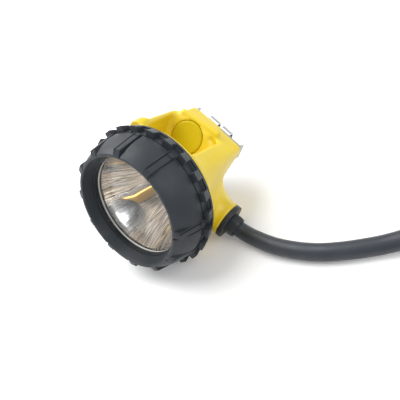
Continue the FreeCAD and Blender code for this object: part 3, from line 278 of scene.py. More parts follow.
def smooth_max(a: np.ndarray, b: np.ndarray, blend: float) -> np.ndarray:
    """Keep what two solids share, with a rounded common edge: minus the smooth_min of the negatives.

    Args:
        a: distance outside the first solid, negative inside it.
        b: the same for the second.
        blend: the size of the rounding.

    Returns:
        The distance outside the shared solid.
    """
    return -smooth_min(-a, -b, blend)


def skin(distance: PointMap, low: Sequence[float], high: Sequence[float], step: float) -> Mesh:
    """Mesh the surface where a distance function is zero, with one point in each grid cell that it crosses.

    A point starts at the mean of the crossings on its cell's edges and then moves twice along the
    gradient by the distance over the gradient's length. A grid edge that crosses gives one quad.

    Args:
        distance: a function of an array of points.
        low: the box's lowest corner.
        high: its highest corner.
        step: the grid's spacing.

    Returns:
        The points and the quads.
    """
    axes = [np.arange(lo, hi + step, step) for lo, hi in zip(low, high)]
    grid = np.stack(np.meshgrid(*axes, indexing="ij"), -1)
    value = distance(grid)
    shape = np.array(value.shape)
    total = np.zeros((*(shape - 1), 3))
    hits = np.zeros(shape - 1)
    crossing = []
    for axis in range(3):
        first = np.take(value, np.arange(shape[axis] - 1), axis)
        second = np.take(value, np.arange(1, shape[axis]), axis)
        crosses = (first < 0) != (second < 0)
        crossing.append((crosses, first < 0))
        place = np.argwhere(crosses)
        along = first[crosses] / (first[crosses] - second[crosses])
        spot = np.array(low) + place * step
        spot[:, axis] += along * step
        others = [other for other in range(3) if other != axis]
        for shift in ((0, 0), (0, -1), (-1, 0), (-1, -1)):
            cell = place.copy()
            cell[:, others] += shift
            inside = np.all((cell >= 0) & (cell < shape - 1), axis=1)
            where = tuple(cell[inside].T)
            np.add.at(total, where, spot[inside])
            np.add.at(hits, where, 1)
    number = -np.ones(shape - 1, int)
    used = hits > 0
    number[used] = np.arange(used.sum())
    points = total[used] / hits[used][:, None]
    reach, least_slope = 0.02, 0.3
    for _ in range(2):
        here = distance(points)
        change = [distance(points + way) - distance(points - way) for way in np.eye(3) * reach]
        slope = np.stack(change, -1) / (2 * reach)
        length = np.maximum(np.linalg.norm(slope, axis=1), least_slope)
        move = np.clip(here / length, -0.5 * step, 0.5 * step)
        points = points - slope / length[:, None] * move[:, None]
    quads = []
    for axis, (crosses, starts_inside) in enumerate(crossing):
        others = [(axis + 1) % 3, (axis + 2) % 3]
        place = np.argwhere(crosses)
        corners = []
        for shift in ((0, 0), (-1, 0), (-1, -1), (0, -1)):
            cell = place.copy()
            cell[:, others] += shift
            corners.append(number[tuple(cell.T)])
        quad = np.stack(corners, -1)
        flip = ~starts_inside[crosses]
        quad[flip] = quad[flip][:, ::-1]
        quads.append(quad)
    return points, np.vstack(quads)


# Finishes


class Nodes:
    """Adds nodes to one node tree, with one short call for each."""

    def __init__(self, tree: bpy.types.NodeTree) -> None:
        """Work on a tree."""
        self.tree = tree

    def fill(self, node: bpy.types.Node, **inputs: object) -> None:
        """Link or set inputs of a node.

        Args:
            node: the node.
            inputs: a socket or a constant for each input, by its name with _ for a space.
        """
        for key, value in inputs.items():
            target = node.inputs[key.replace("_", " ")]
            if isinstance(value, Socket):
                self.tree.links.new(value, target)
            else:
                target.default_value = value

    def add(self, kind: str, output: str, settings: dict[str, str] | None = None,
            **inputs: object) -> Socket:
        """Add a node.

        Args:
            kind: Blender's name for the node type, without ShaderNode.
            output: the name of the output that is wanted.
            settings: the node's own properties.
            inputs: a socket or a constant for each input, by its name with _ for a space.

        Returns:
            The output.
        """
        node = self.tree.nodes.new("ShaderNode" + kind)
        for key, value in (settings or {}).items():
            setattr(node, key, value)
        self.fill(node, **inputs)
        return node.outputs[output]

    def number(self, operation: str, *values: Socket) -> Socket:
        """Work out one number from others.

        Args:
            operation: Blender's name for what is done.
            values: the numbers, in order.

        Returns:
            The result.
        """
        result = self.add("Math", "Value", {"operation": operation})
        for target, value in zip(result.node.inputs, values):
            self.tree.links.new(value, target)
        return result


class Surface(Nodes):
    """One material's nodes."""

    def __init__(self, name: str) -> None:
        """Start a material with only its shader and output.

        Args:
            name: the material's name.
        """
        self.material = bpy.data.materials.new(name)
        self.material.use_nodes = True
        super().__init__(self.material.node_tree)
        self.place = self.add("TexCoord", "Object")

    def set(self, **inputs: object) -> None:
        """Link or set inputs of the shader, each by its name with _ for a space."""
        self.fill(self.tree.nodes["Principled BSDF"], **inputs)

    def texture(self, vector: Socket, scale: float, detail: float, fineness: float = 0.5) -> Socket:
        """Give a noise of any vector.

        Args:
            vector: what the noise is read at.
            scale: blobs for each unit of it.
            detail: how many finer layers it has.
            fineness: how strong each finer layer is.

        Returns:
            The noise's value.
        """
        return self.add("TexNoise", "Fac", Scale=scale, Detail=detail, Roughness=fineness, Vector=vector)

    def noise(self, scale: float, detail: float, stretch: Point = (1.0, 1.0, 1.0)) -> Socket:
        """Give a noise in the piece's own coordinates, each multiplied by its stretch."""
        return self.texture(self.add("Mapping", "Vector", Scale=stretch, Vector=self.place), scale, detail)

    def between(self, factor: Socket, low: float, high: float, start: float = 0.3,
                stop: float = 0.7) -> Socket:
        """Map a factor from start..stop to low..high."""
        return self.add("MapRange", "Result", From_Min=start, From_Max=stop, To_Min=low, To_Max=high,
                        Value=factor)

    def tint(self, factor: Socket, first: Socket | Colour, second: Socket | Colour) -> Socket:
        """Mix two colours, fixed or from sockets, by a factor: 0 gives the first, 1 the second."""
        first, second = (tone if isinstance(tone, Socket) else (*tone, 1.0) for tone in (first, second))
        return self.add("Mix", "Result", {"data_type": "RGBA"}, Factor=factor, A=first, B=second)

    def tones(self, factor: Socket, first: Colour, second: Colour) -> None:
        """Colour the surface in two tones by a noise."""
        self.set(Base_Color=self.tint(self.between(factor, 0.0, 1.0), first, second))

    def ramp(self, factor: Socket, stops: Stops) -> Socket:
        """Turn a factor into a colour by a row of stops.

        Args:
            factor: what is looked up.
            stops: places from 0 to 1, each with its red, green and blue.

        Returns:
            The colour.
        """
        colour = self.add("ValToRGB", "Color", Fac=factor)
        marks = colour.node.color_ramp.elements
        while len(marks) < len(stops):
            marks.new(0.5)
        for mark, (place, tone) in zip(marks, stops):
            mark.position = place
            mark.color = (*tone, 1.0)
        return colour

    def bump(self, *heights: tuple[Socket, float]) -> None:
        """Stack bumps on the shader's normal.

        Args:
            heights: pairs of a height from 0 to 1 and the depth in metres that 1 stands for.
        """
        normal = {}
        for height, depth in heights:
            normal = {"Normal": self.add("Bump", "Normal", Distance=depth, Height=height, **normal)}
        self.set(**normal)


@dataclass(frozen=True)
class Finish(ABC):
    """A material with a name."""

    name: str

    @abstractmethod
    def paint(self, n: Surface) -> None:
        """Add this finish's nodes to n."""

    def build(self) -> bpy.types.Material:
        """Make the material.

        Returns:
            The material, ready to be put on a piece.
        """
        surface = Surface(self.name)
        self.paint(surface)
        return surface.material


@dataclass(frozen=True)
class Moulding(Finish):
    """A moulded plastic or rubber: two close tones, a satin that varies, and a fine grain."""

    tone: Colour
    deep_tone: Colour
    roughness: float = 0.4
    roughness_spread: float = 0.08
    blotch_scale: float = 40.0
    grain_scale: float = 2600.0
    grain_depth: float = 0.000012
    wave_depth: float = 0.00004
    specular: float = 0.5
    sheen: float = 0.0
    coat: float = 0.0

    def paint(self, n: Surface) -> None:
        """Add the tones, the satin in patches, a slight wave and the grain.

        Args:
            n: the material's nodes.
        """
        n.tones(n.noise(self.blotch_scale, 4.0), self.tone, self.deep_tone)
        patches = n.noise(self.blotch_scale * 3.1, 5.0)
        low, high = self.roughness - self.roughness_spread, self.roughness + self.roughness_spread
        n.set(Roughness=n.between(patches, low, high), Specular_IOR_Level=self.specular)
        n.set(Sheen_Weight=self.sheen, Coat_Weight=self.coat, Coat_Roughness=0.15)
        wave, grain = n.noise(self.blotch_scale * 2, 2.0), n.noise(self.grain_scale, 2.0)
        n.bump((wave, self.wave_depth), (grain, self.grain_depth))


@dataclass(frozen=True)
class Metal(Finish):
    """A metal surface with fine lines along one direction and smudges that change its gloss."""

    tone: Colour
    dull_tone: Colour
    roughness: float = 0.25
    line_scale: float = 900.0
    line_stretch: Point = (0.06, 1.0, 1.0)
    line_depth: float = 0.000004

    def paint(self, n: Surface) -> None:
        """Add the smudges and the lines.

        Args:
            n: the material's nodes.
        """
        smudge = n.noise(90.0, 5.0)
        n.tones(smudge, self.tone, self.dull_tone)
        n.set(Roughness=n.between(smudge, self.roughness * 0.8, self.roughness * 1.3), Metallic=1.0)
        n.bump((n.noise(self.line_scale, 2.0, self.line_stretch), self.line_depth))


@dataclass(frozen=True)
class ReflectorCoat(Finish):
    """The bright coat inside the dish, with fine ribs that run from the middle to the rim.

    The rib pattern is a noise of the direction round the beam: the piece's own "around" attribute holds
    the cosine and sine of that angle, times a length, so the noise has no seam. The same noise paints
    dark, peach and white streaks into the colour, which are painted reflections. The attribute "calm"
    is 1 over a smooth field painted as a grey reflection with a white painted highlight, and "amber"
    rises to 1 where a golden painted reflection of the light source lies, which also emits light.
    """

    name: str = "reflector_coat"
    # Painted reflections: dark, peach and white streaks along the rib pattern.
    ribs_and_painted_streaks: Stops = (
        (0.25, (0.10, 0.09, 0.08)), (0.36, (0.74, 0.64, 0.54)), (0.42, (1.0, 0.88, 0.72)),
        (0.47, (0.16, 0.14, 0.13)), (0.51, (0.88, 0.84, 0.78)), (0.55, (1.0, 1.0, 1.0)),
        (0.60, (0.30, 0.27, 0.25)), (0.67, (1.0, 0.86, 0.70)), (0.76, (0.10, 0.09, 0.08)))
    # Painted reflection of the smooth field, grey up to a white painted highlight.
    smooth: Stops = ((0.30, (0.58, 0.60, 0.60)), (0.50, (0.80, 0.81, 0.82)), (0.70, (1.0, 1.0, 1.0)))
    # Painted reflection of the light source: golden, brightest at its edge.
    painted_amber_tones: Stops = (
        (0.0, (0.30, 0.22, 0.16)), (0.45, (0.58, 0.34, 0.09)), (0.70, (0.86, 0.54, 0.12)),
        (0.92, (1.0, 0.88, 0.34)))
    # Painted light: the golden wedge emits this colour, though no lamp is there.
    painted_glow_tone: Colour = (1.0, 0.72, 0.22)
    painted_edge_glow: float = 1.1
    rib_scale: float = 7.5
    rib_depth: float = 0.00010
    broad_scale: float = 1.1
    roughness: float = 0.10

    def paint(self, n: Surface) -> None:
        """Add the rib pattern with its painted reflection streaks, the smooth field's painted reflection
        and highlight, and the golden painted reflection that emits light.

        Args:
            n: the material's nodes.
        """
        around = n.add("Attribute", "Vector", {"attribute_name": "around"})
        calm_reflection, amber_reflection = (n.add("Attribute", "Fac", {"attribute_name": name}) for name in ("calm_reflection", "amber_reflection"))
        # The rib noise makes the bump and paints the streaks, which are painted reflections.
        ribs_and_painted_streaks = n.texture(around, self.rib_scale, 1.6, 0.55)
        broad = n.texture(around, self.broad_scale, 2.0)
        # The smooth field is a painted reflection, grey with a white painted highlight.
        coat = n.tint(calm_reflection, n.ramp(ribs_and_painted_streaks, self.ribs_and_painted_streaks), n.ramp(broad, self.smooth))
        # Over the coat lies the golden painted reflection of the light source.
        n.set(Base_Color=n.tint(n.between(amber_reflection, 0.0, 1.0, 0.02, 0.12), coat, n.ramp(amber_reflection, self.painted_amber_tones)))
        n.set(Roughness=n.between(broad, self.roughness * 0.7, self.roughness * 1.6))
        # In the golden wedge the coat is less metallic and emits light: painted light.
        n.set(Metallic=n.between(amber_reflection, 0.85, 0.1, 0.0, 0.3), Emission_Color=(*self.painted_glow_tone, 1.0))
        n.set(Emission_Strength=n.between(amber_reflection, 0.0, self.painted_edge_glow, 0.72, 0.98))
        n.bump((ribs_and_painted_streaks, self.rib_depth))


@dataclass(frozen=True)
class ClearLens(Finish):
    """Clear polycarbonate with a trace of haze."""

    name: str = "clear_lens"
    tone: Colour = (0.99, 0.995, 1.0)
    haze_tone: Colour = (0.96, 0.975, 0.985)

    def paint(self, n: Surface) -> None:
        """Make n clear, with a haze in its colour."""
        n.tones(n.noise(60.0, 4.0), self.tone, self.haze_tone)
        n.set(Transmission_Weight=1.0, Roughness=0.0, IOR=1.2)


@dataclass(frozen=True)
class LampPhosphor(Finish):
    """The yellow phosphor and clear dome of the light source."""

    name: str = "lamp_phosphor"
    tone: Colour = (0.95, 0.72, 0.10)
    dot_tone: Colour = (0.85, 0.55, 0.05)

    def paint(self, n: Surface) -> None:
        """Add fine dots under a glossy coat to n."""
        n.tones(n.noise(4000.0, 2.0), self.tone, self.dot_tone)
        n.set(Roughness=0.2, Coat_Weight=1.0, Coat_Roughness=0.03)


FINISHES = {finish.name: finish for finish in (
    Moulding("grip_rubber", (0.019, 0.026, 0.033), (0.013, 0.018, 0.024), 0.48, 0.07, 55.0, 2400.0,
             0.00002, 0.00006, 0.35, 0.10),
    Moulding("black_plastic", (0.020, 0.025, 0.029), (0.013, 0.016, 0.019), 0.42, specular=0.35),
    Moulding("white_plastic", (0.82, 0.82, 0.79), (0.74, 0.74, 0.70), 0.4),
    Moulding("white_rubber", (0.86, 0.86, 0.83), (0.76, 0.76, 0.72), 0.55),
    Moulding("black_rubber", (0.018, 0.018, 0.019), (0.010, 0.010, 0.011), 0.6, sheen=0.1),
    Moulding("housing_yellow", (0.78, 0.59, 0.018), (0.75, 0.55, 0.014), 0.36, 0.07, 30.0, 1800.0,
             0.000012, 0.00005, 0.5, 0.0, 0.15),
    Moulding("button_yellow", (0.62, 0.48, 0.003), (0.59, 0.45, 0.002), 0.55, 0.06, 60.0, 3000.0,
             0.00001, 0.00002, 0.2),
    Moulding("cord_jacket", (0.020, 0.026, 0.036), (0.014, 0.019, 0.027), 0.45, 0.08, 70.0, 2200.0,
             0.00002, 0.00005, 0.5, 0.1),
    Moulding("lead_red", (0.55, 0.02, 0.02), (0.45, 0.012, 0.012), 0.4),
    Moulding("lead_black", (0.014, 0.014, 0.015), (0.009, 0.009, 0.010), 0.4),
    Moulding("circuit_green", (0.010, 0.16, 0.055), (0.006, 0.11, 0.035), 0.3, coat=0.4),
    Metal("aluminium", (0.75, 0.75, 0.77), (0.62, 0.62, 0.64), 0.38, 300.0, (1.0, 1.0, 1.0), 0.00002),
    Metal("steel", (0.62, 0.61, 0.59), (0.45, 0.44, 0.42), 0.3),
    Metal("bright_steel", (0.58, 0.58, 0.57), (0.36, 0.35, 0.34), 0.24),
    Metal("dark_steel", (0.16, 0.155, 0.15), (0.09, 0.088, 0.085), 0.35),
    Metal("tinned", (0.78, 0.77, 0.74), (0.66, 0.64, 0.60), 0.25),
)}
FINISHES |= {"mirror_coat": ReflectorCoat(), "lens": ClearLens(), "phosphor": LampPhosphor()}


def placed(name: str, data: bpy.types.ID) -> Piece:
    """Put a new object in the scene.

    Args:
        name: its name.
        data: its mesh, curve, lamp or camera.

    Returns:
        The object.
    """
    piece = bpy.data.objects.new(name, data)
    bpy.context.scene.collection.objects.link(piece)
    return piece


def points_of(mesh: bpy.types.Mesh) -> np.ndarray:
    """Read a mesh's points.

    Args:
        mesh: the mesh, in metres.

    Returns:
        The points in millimetres.
    """
    points = np.empty(3 * len(mesh.vertices))
    mesh.vertices.foreach_get("co", points)
    return points.reshape(-1, 3) / MM


def joined(mesh: bpy.types.Mesh, flat_angle: float = 0.0) -> None:
    """Join a mesh's points that are in one place, and its faces that are in one plane.

    Args:
        mesh: the mesh, changed in place.
        flat_angle: the greatest angle in degrees between faces that are joined, 0 to join none.
    """
    work = bmesh.new()
    work.from_mesh(mesh)
    bmesh.ops.remove_doubles(work, verts=work.verts, dist=0.002 * MM)
    if flat_angle:
        angle = math.radians(flat_angle)
        bmesh.ops.dissolve_limit(work, angle_limit=angle, verts=work.verts, edges=work.edges)
    work.to_mesh(mesh)
    work.free()


class Workshop:
    """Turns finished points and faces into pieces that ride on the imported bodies."""

    def __init__(self, frame: dict) -> None:
        """Look up each CAD node's slot and body, and make every finish once.
        """
        record = frame["record"]
        bodies = record["behaviour"]["bodies"]
        self.nodes = frame["nodes"]
        self.slots = {entry["node"]: entry["material_slot"] for entry in record["subparts"]}
        self.bodies = {node: body for body, members in bodies.items() for node in members}
        self.materials = {name: finish.build() for name, finish in FINISHES.items()}

    def dress(self, piece: Piece, slot: str) -> None:
        """Give a piece one finish and no other."""
        piece.data.materials.clear()
        piece.data.materials.append(self.materials[slot])

    def dress_nodes(self) -> None:
        """Give every CAD node the finish of its record slot."""
        for node, slot in self.slots.items():
            self.dress(self.nodes[node], slot)

    def finish_piece(self, piece: Piece, node: str, sharp: float = 40.0, also: Sequence[str] = ()) -> Piece:
        """Put a piece in the place of its CAD nodes, with their finish and body.

        Args:
            piece: the new object.
            node: the CAD node that it stands for and whose body and slot it gets.
            sharp: the least angle between faces, in degrees, that stays a hard edge.
            also: further CAD nodes that it stands for.

        Returns:
            The piece.
        """
        slot = self.slots[node]
        self.dress(piece, slot)
        if piece.type == "MESH":
            piece.data.shade_smooth()
            piece.data.set_sharp_from_angle(angle=math.radians(sharp))
        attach(piece, self.bodies[node])
        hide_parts(node, *also)
        log.info("%s: for %s", piece.name, ", ".join((node, *also)))
        return piece

    def solid(self, name: str, shape: Mesh, node: str, frame: Frame = LYING, sharp: float = 40.0,
              attributes: dict[str, np.ndarray] | None = None) -> Piece:
        """Make a closed mesh piece with its faces outwards.

        Args:
            name: the piece's name.
            shape: points in millimetres and quads.
            node: the CAD node that it stands for.
            frame: the frame that the points are in, as the part's frame sees it.
            sharp: the least angle that stays a hard edge.
            attributes: values for each point, a float or a vector, by name.

        Returns:
            The piece.
        """
        points, quads = shape
        points = frame.carry(points) * MM
        if signed_volume(points, quads) < 0:
            quads = quads[:, ::-1]
        mesh = bpy.data.meshes.new(name)
        mesh.from_pydata(points.tolist(), [], quads.tolist())
        for key, values in (attributes or {}).items():
            kind, member = ("FLOAT_VECTOR", "vector") if values.ndim == 2 else ("FLOAT", "value")
            attribute = mesh.attributes.new(key, kind, "POINT")
            attribute.data.foreach_set(member, values.astype(np.float32).ravel())
        joined(mesh)
        return self.finish_piece(placed(name, mesh), node, sharp)

    def copied(self, node: str, name: str, shape: PointMap | None = None) -> Piece:
        """Copy a CAD node as a piece of its own, with its triangles joined.

        Args:
            node: the CAD node.
            name: the new piece's name.
            shape: moves the copy's points, given in millimetres in the part's frame.

        Returns:
            The piece.
        """
        mesh = self.nodes[node].data.copy()
        mesh.name = name
        joined(mesh, flat_angle=0.5)
        if shape is not None:
            mesh.vertices.foreach_set("co", (shape(points_of(mesh)) * MM).ravel())
            mesh.update()
        return self.finish_piece(placed(name, mesh), node)

    def softened(self, node: str, width: float, shape: PointMap | None = None) -> Piece:
        """Copy a CAD node and round its hard edges.

        Args:
            node: the CAD node.
            width: the rounding's width in millimetres.
            shape: moves the copy's points, given in millimetres in the part's frame.

        Returns:
            The piece.
        """
        piece = self.copied(node, node + "_soft", shape)
        bevel = piece.modifiers.new("edges", "BEVEL")
        bevel.width = width * MM
        bevel.segments = 2
        bevel.limit_method = "ANGLE"
        bevel.angle_limit = math.radians(40)
        bevel.use_clamp_overlap = True
        return piece


# The bezel


@dataclass
class Bezel:
    """The screw bezel: a rubber grip with castellations and rails, over a threaded ring.

    Each edge of a rail, groove, slot or notch is 2 edge wide, with columns beside it at near_edge times
    edge. A point of the section is on the outer side if it is no more than line_slack inside the
    panel's line, or outside a cone that starts from outside_radius at the front.
    """

    shop: Workshop
    base_radius: float = 37.5
    block_start: float = 1.6
    block_foot_radius: float = 38.0
    block_radius: float = 39.2
    rim_depth: float = 6.4
    groove_radius: float = 35.2
    panel_foot: float = 7.4
    panel_radius: float = 36.0
    panel_crown: float = 1.2
    lip_radius: float = 31.1
    lip_wall: float = 1.5
    depth: float = 22.7
    throat_radius: float = 27.6
    throat_level: float = 16.65
    inner_radius: float = 31.25
    inner_step_radius: float = 33.05
    inner_step_level: float = 10.0
    rail_angles: tuple[float, ...] = (
        22.0, 80.0, 112.0, 142.0, 173.0, 203.0, 233.0, 263.0, 293.0, 323.0, 352.0)
    rail_foot_radius: float = 36.8
    rail_end_radius: float = 33.6
    rail_end: float = 22.4
    rail_width: float = 4.2
    groove_from: float = 0.8
    groove_to: float = 1.35
    groove_depth: float = 0.65
    slot_width: float = 0.9
    slot_depth: float = 0.95
    notch_count: int = 24
    notch_turn: float = 5.0
    notch_width: float = 5.4
    notch_floor_radius: float = 36.9
    pocket_start: float = 3.2
    pocket_depth: float = 1.1
    edge: float = 0.14
    near_edge: tuple[float, ...] = (-1.5, -0.9, -0.3, 0.3, 0.9, 1.5)
    columns: int = 288
    corner: float = 0.36
    longest: float = 0.8
    line_slack: float = 0.35
    end_gap: float = 0.2
    outside_radius: float = 30.2
    outside_slope: float = 0.2

    def band(self, offset: np.ndarray, low: float, high: float) -> np.ndarray:
        """Give 1 from low to high and 0 outside, with smooth edges."""
        return smooth_step(offset - low, self.edge) * smooth_step(high - offset, self.edge)

    def angles(self) -> np.ndarray:
        """List the angles of the grip's columns: evenly spread, and close together at each edge.

        Returns:
            The angles in radians, sorted.
        """
        half = self.rail_width / 2
        across = (-half - self.slot_width, -half, self.groove_from, self.groove_to, half)
        edges = [math.radians(a) + d / self.panel_radius for a in self.rail_angles for d in across]
        pitch = 2 * math.pi / self.notch_count
        half_notch = self.notch_width / 2 / self.base_radius
        edges += [math.radians(self.notch_turn) + pitch * k + side * half_notch
                  for k in range(self.notch_count) for side in (-1, 1)]
        near = np.array(self.near_edge) * self.edge / self.base_radius
        close = (np.array(edges)[:, None] + near[None, :]).ravel() % (2 * math.pi)
        even = np.linspace(0, 2 * math.pi, self.columns, endpoint=False)
        gap = np.min(np.abs(wrapped(even[:, None] - close[None, :])), axis=1)
        return np.unique(np.concatenate([even[gap > 0.005], close]).round(6))

    def profile(self) -> np.ndarray:
        """Draw the grip's section as radius and height, with rounded corners and a crowned panel.

        The panel stands out by 4 t (1 - t) times its crown, with t from its foot to the lip. Points at
        the rails' front end go, so that a rail ends in one step.

        Returns:
            The section's points, the outer side first.
        """
        corners = [
            (self.inner_step_radius, 0.0), (self.base_radius, 0.0), (self.base_radius, self.block_start),
            (self.block_foot_radius, self.block_start), (self.block_radius, self.rim_depth),
            (self.groove_radius, self.rim_depth), (self.groove_radius, self.panel_foot),
            (self.panel_radius, self.panel_foot), (self.lip_radius, self.depth),
            (self.lip_radius - self.lip_wall, self.depth), (self.throat_radius, self.throat_level),
            (self.inner_radius, self.throat_level), (self.inner_radius, self.inner_step_level),
            (self.inner_step_radius, self.inner_step_level),
        ]
        points = finely(rounded(corners, self.corner, 3), self.longest)
        share = np.clip((points[:, 1] - self.panel_foot) / (self.depth - self.panel_foot), 0.0, 1.0)
        line = self.panel_radius + (self.lip_radius - self.panel_radius) * share
        outer = (points[:, 0] > line - self.line_slack) & (points[:, 1] > self.panel_foot)
        points[:, 0] += np.where(outer, 4 * share * (1 - share) * self.panel_crown, 0.0)
        near_end = outer & (np.abs(points[:, 1] - self.rail_end) < self.end_gap)
        return points[~near_end] if near_end.sum() > 1 else points

    def grip(self) -> Mesh:
        """Carry the section round the beam and move its outer side in or out by angle.

        On the panel a rail's top is a straight line from its foot to its front end, with a groove in
        it and a slot along one side. On the rim a notch brings the radius down to its floor, and
        further down in a pocket at its front.

        Returns:
            The points and the quads.
        """
        section = self.profile()
        angle = self.angles()[:, None]
        radius, height = section[None, :, 0], section[None, :, 1]
        inside_radius = self.outside_radius + (self.depth - height) * self.outside_slope
        outside = (radius > inside_radius) & (height > self.panel_foot - 0.05)
        along = outside * smooth_step(height - self.panel_foot, self.edge)
        on_rail = along * (height < self.rail_end)
        slope = (self.rail_end_radius - self.rail_foot_radius) / (self.rail_end - self.panel_foot)
        top = self.rail_foot_radius + slope * (height - self.panel_foot)
        rise = np.maximum(top - radius, 0.0)
        half = self.rail_width / 2
        lift = np.zeros((angle.size, section.shape[0]))
        for middle in self.rail_angles:
            offset = wrapped(angle - math.radians(middle)) * self.panel_radius
            lift += rise * self.band(offset, -half, half) * on_rail
            lift -= self.groove_depth * self.band(offset, self.groove_from, self.groove_to) * on_rail
            lift -= self.slot_depth * self.band(offset, -half - self.slot_width, -half) * along
        around = wrapped(angle - math.radians(self.notch_turn), 2 * math.pi / self.notch_count)
        half_notch = self.notch_width / 2
        notch = self.band(around * self.base_radius, -half_notch, half_notch)
        pocket = smooth_step(height - self.pocket_start, self.edge)
        floor = self.notch_floor_radius - self.pocket_depth * pocket
        on_rim = (height >= self.block_start - 0.01) & (height <= self.rim_depth)
        lift -= notch * np.maximum(radius - floor, 0.0) * on_rim
        return turned(radius + lift, height, angle)

    def build(self) -> None:
        """Build the grip, the threaded ring inside it and the slip ring."""
        self.shop.solid("bezel_grip_rubber", self.grip(), "bezel_grip")
        window, inner, neck, outer = 27.10, 29.70, 31.20, 33.00
        rear, shoulder, face, front = 0.80, 9.95, 14.10, 16.60
        corners = [(inner, rear), (outer, rear), (outer, shoulder), (neck, shoulder), (neck, front),
                   (window, front), (window, face), (inner, face)]
        self.shop.solid("bezel_threaded_ring", lathe(rounded(corners, 0.25, 3), 160), "bezel_ring")
        washer = ring(27.60, 29.10, 13.55, 14.05, 0.12, 2)
        self.shop.solid("slip_washer", lathe(washer, 160), "slip_ring")


# Optics


@dataclass
class Optics:
    """The dish, the light source in its middle, and the lens with its gasket.

    The smooth field and the golden wedge, where the coat paints reflections with a painted highlight and a
    bright painted edge, are places on the dish, by angle in degrees and radius.
    """

    shop: Workshop
    focal_length: float = 5.5
    vertex: float = -21.127
    hole: float = 7.5
    mouth: float = 26.8
    rim: float = 28.9
    rim_front: float = 11.52
    rim_back: float = 10.37
    wall: float = 0.7
    rib_spread: float = 3.0
    rib_run: float = 0.2
    # Where the golden painted reflection lies, with its bright painted edge line.
    amber_angle: float = 223.0
    amber_radius: float = 23.6
    amber_fall: float = 0.26
    amber_length: float = 22.0
    painted_edge_width: float = 3.4
    painted_edge_share: float = 0.38
    lens_levels: tuple[float, float] = (11.57, 12.90)
    gasket_levels: tuple[float, float] = (12.95, 13.50)
    gasket_bore: float = 27.20
    # Where the smooth field's painted reflection and highlight lie.
    calm_from: float = 222.0
    calm_to: float = 268.0
    calm_radius: float = 21.5

    def bowl(self, radius: np.ndarray) -> np.ndarray:
        """Give the dish's height: that of its vertex and the radius squared over four focal lengths."""
        return self.vertex + radius ** 2 / (4 * self.focal_length)

    def dish(self) -> tuple[np.ndarray, np.ndarray, dict[str, np.ndarray]]:
        """Turn the dish, and work out what its coat reads.

        Returns:
            The points, the quads and the attributes that the coat reads.
        """
        radius = np.linspace(self.hole, self.mouth, 64)
        inner = np.stack([radius, self.bowl(radius)], -1)
        back_radius = math.sqrt((self.rim_back - self.vertex) * 4 * self.focal_length)
        back = np.linspace(back_radius, self.hole, 16)
        outer = np.stack([back + self.wall, self.bowl(back)], -1)
        section = np.vstack([inner, [(self.rim, self.rim_front), (self.rim, self.rim_back)], outer])
        points, quads = lathe(section, 720)
        angle = np.arctan2(points[:, 1], points[:, 0])
        radius = np.hypot(points[:, 0], points[:, 1])
        around = np.stack([np.cos(angle) * self.rib_spread, np.sin(angle) * self.rib_spread,
                           radius / self.mouth * self.rib_run], -1)
        turn = np.degrees(angle) % 360
        # Mask for the smooth field that the coat paints as a reflection with a highlight.
        calm_reflection = smooth_step(turn - self.calm_from, 8.0) * smooth_step(self.calm_to - turn, 8.0)
        calm_reflection = calm_reflection * smooth_step(radius - self.calm_radius, 1.5)
        # Mask for the golden painted reflection of the light source, brightest in a painted edge line at
        # its start.
        past_edge = turn - self.amber_angle
        reach = self.amber_radius - self.amber_fall * past_edge
        amber_reflection = smooth_step(past_edge, 0.5) * smooth_step(reach - radius, 0.8)
        line = smooth_step(self.painted_edge_width - past_edge, 1.2)
        fade = np.clip(1.25 - past_edge / self.amber_length, 0.0, 1.0)
        amber_reflection = amber_reflection * (1 - self.painted_edge_share + self.painted_edge_share * line) * fade
        return points, quads, {"around": around, "calm_reflection": calm_reflection, "amber_reflection": amber_reflection}

    def emitter(self) -> Mesh:
        """Turn the clear dome over a rounded square base: the base's outline is a superellipse of power 8.

        Returns:
            The points and the quads.
        """
        angle = np.linspace(0, 2 * math.pi, 64, endpoint=False)[:, None]
        square = (np.abs(np.cos(angle)) ** 8 + np.abs(np.sin(angle)) ** 8) ** (-1 / 8)
        low, top, half, inner, dome = -16.53, -15.63, 2.5, 1.95, 1.9
        base = [(0.0, low, 0.0), (half, low, 1.0), (half, top, 1.0), (inner, top, 0.0)]
        rise = np.linspace(0.0, math.pi / 2, 12)
        cap = [(dome * math.cos(t), top + dome * math.sin(t), 0.0) for t in rise]
        section = np.array(base + cap)
        radius = section[None, :, 0] * (1 + (square - 1) * section[None, :, 2])
        return turned(radius, section[:, 1], angle)

    def build(self) -> None:
        """Build the dish, the emitter, the lens and its gasket."""
        points, quads, values = self.dish()
        self.shop.solid("reflector_dish", (points, quads), "reflector", sharp=50.0, attributes=values)
        self.shop.solid("light_source", self.emitter(), "led_emitter")
        lens = ring(0.0, self.rim, *self.lens_levels, 0.3)
        self.shop.solid("lens_disc", lathe(lens, 160), "lens")
        gasket = ring(self.gasket_bore, self.rim, *self.gasket_levels, 0.2)
        self.shop.solid("lens_gasket_ring", lathe(gasket, 160), "lens_gasket")


# The housing


@dataclass(frozen=True)
class Disc:
    """A round disc: its radius, its middle along its axis, half its height and its edge's rounding."""

    radius: float
    middle: float
    half: float
    edge: float

    def distance(self, off_axis: np.ndarray, along: np.ndarray) -> np.ndarray:
        """Give the distance outside it for points off its axis and along it by these amounts."""
        return smooth_max(off_axis - self.radius, np.abs(along - self.middle) - self.half, self.edge)


@dataclass(frozen=True)
class Rod:
    """A round-ended rod: the ends of its middle line and its radius."""

    start: Point
    end: Point
    radius: float

    def distance(self, p: np.ndarray) -> np.ndarray:
        """Give the distance outside it: to the nearest point of its middle line, less the radius.

        Args:
            p: points in the rod's frame.

        Returns:
            The distances.
        """
        way = np.subtract(self.end, self.start)
        away = p - np.array(self.start)
        share = np.clip(away @ way / (way @ way), 0.0, 1.0)
        return np.linalg.norm(away - share[..., None] * way, axis=-1) - self.radius


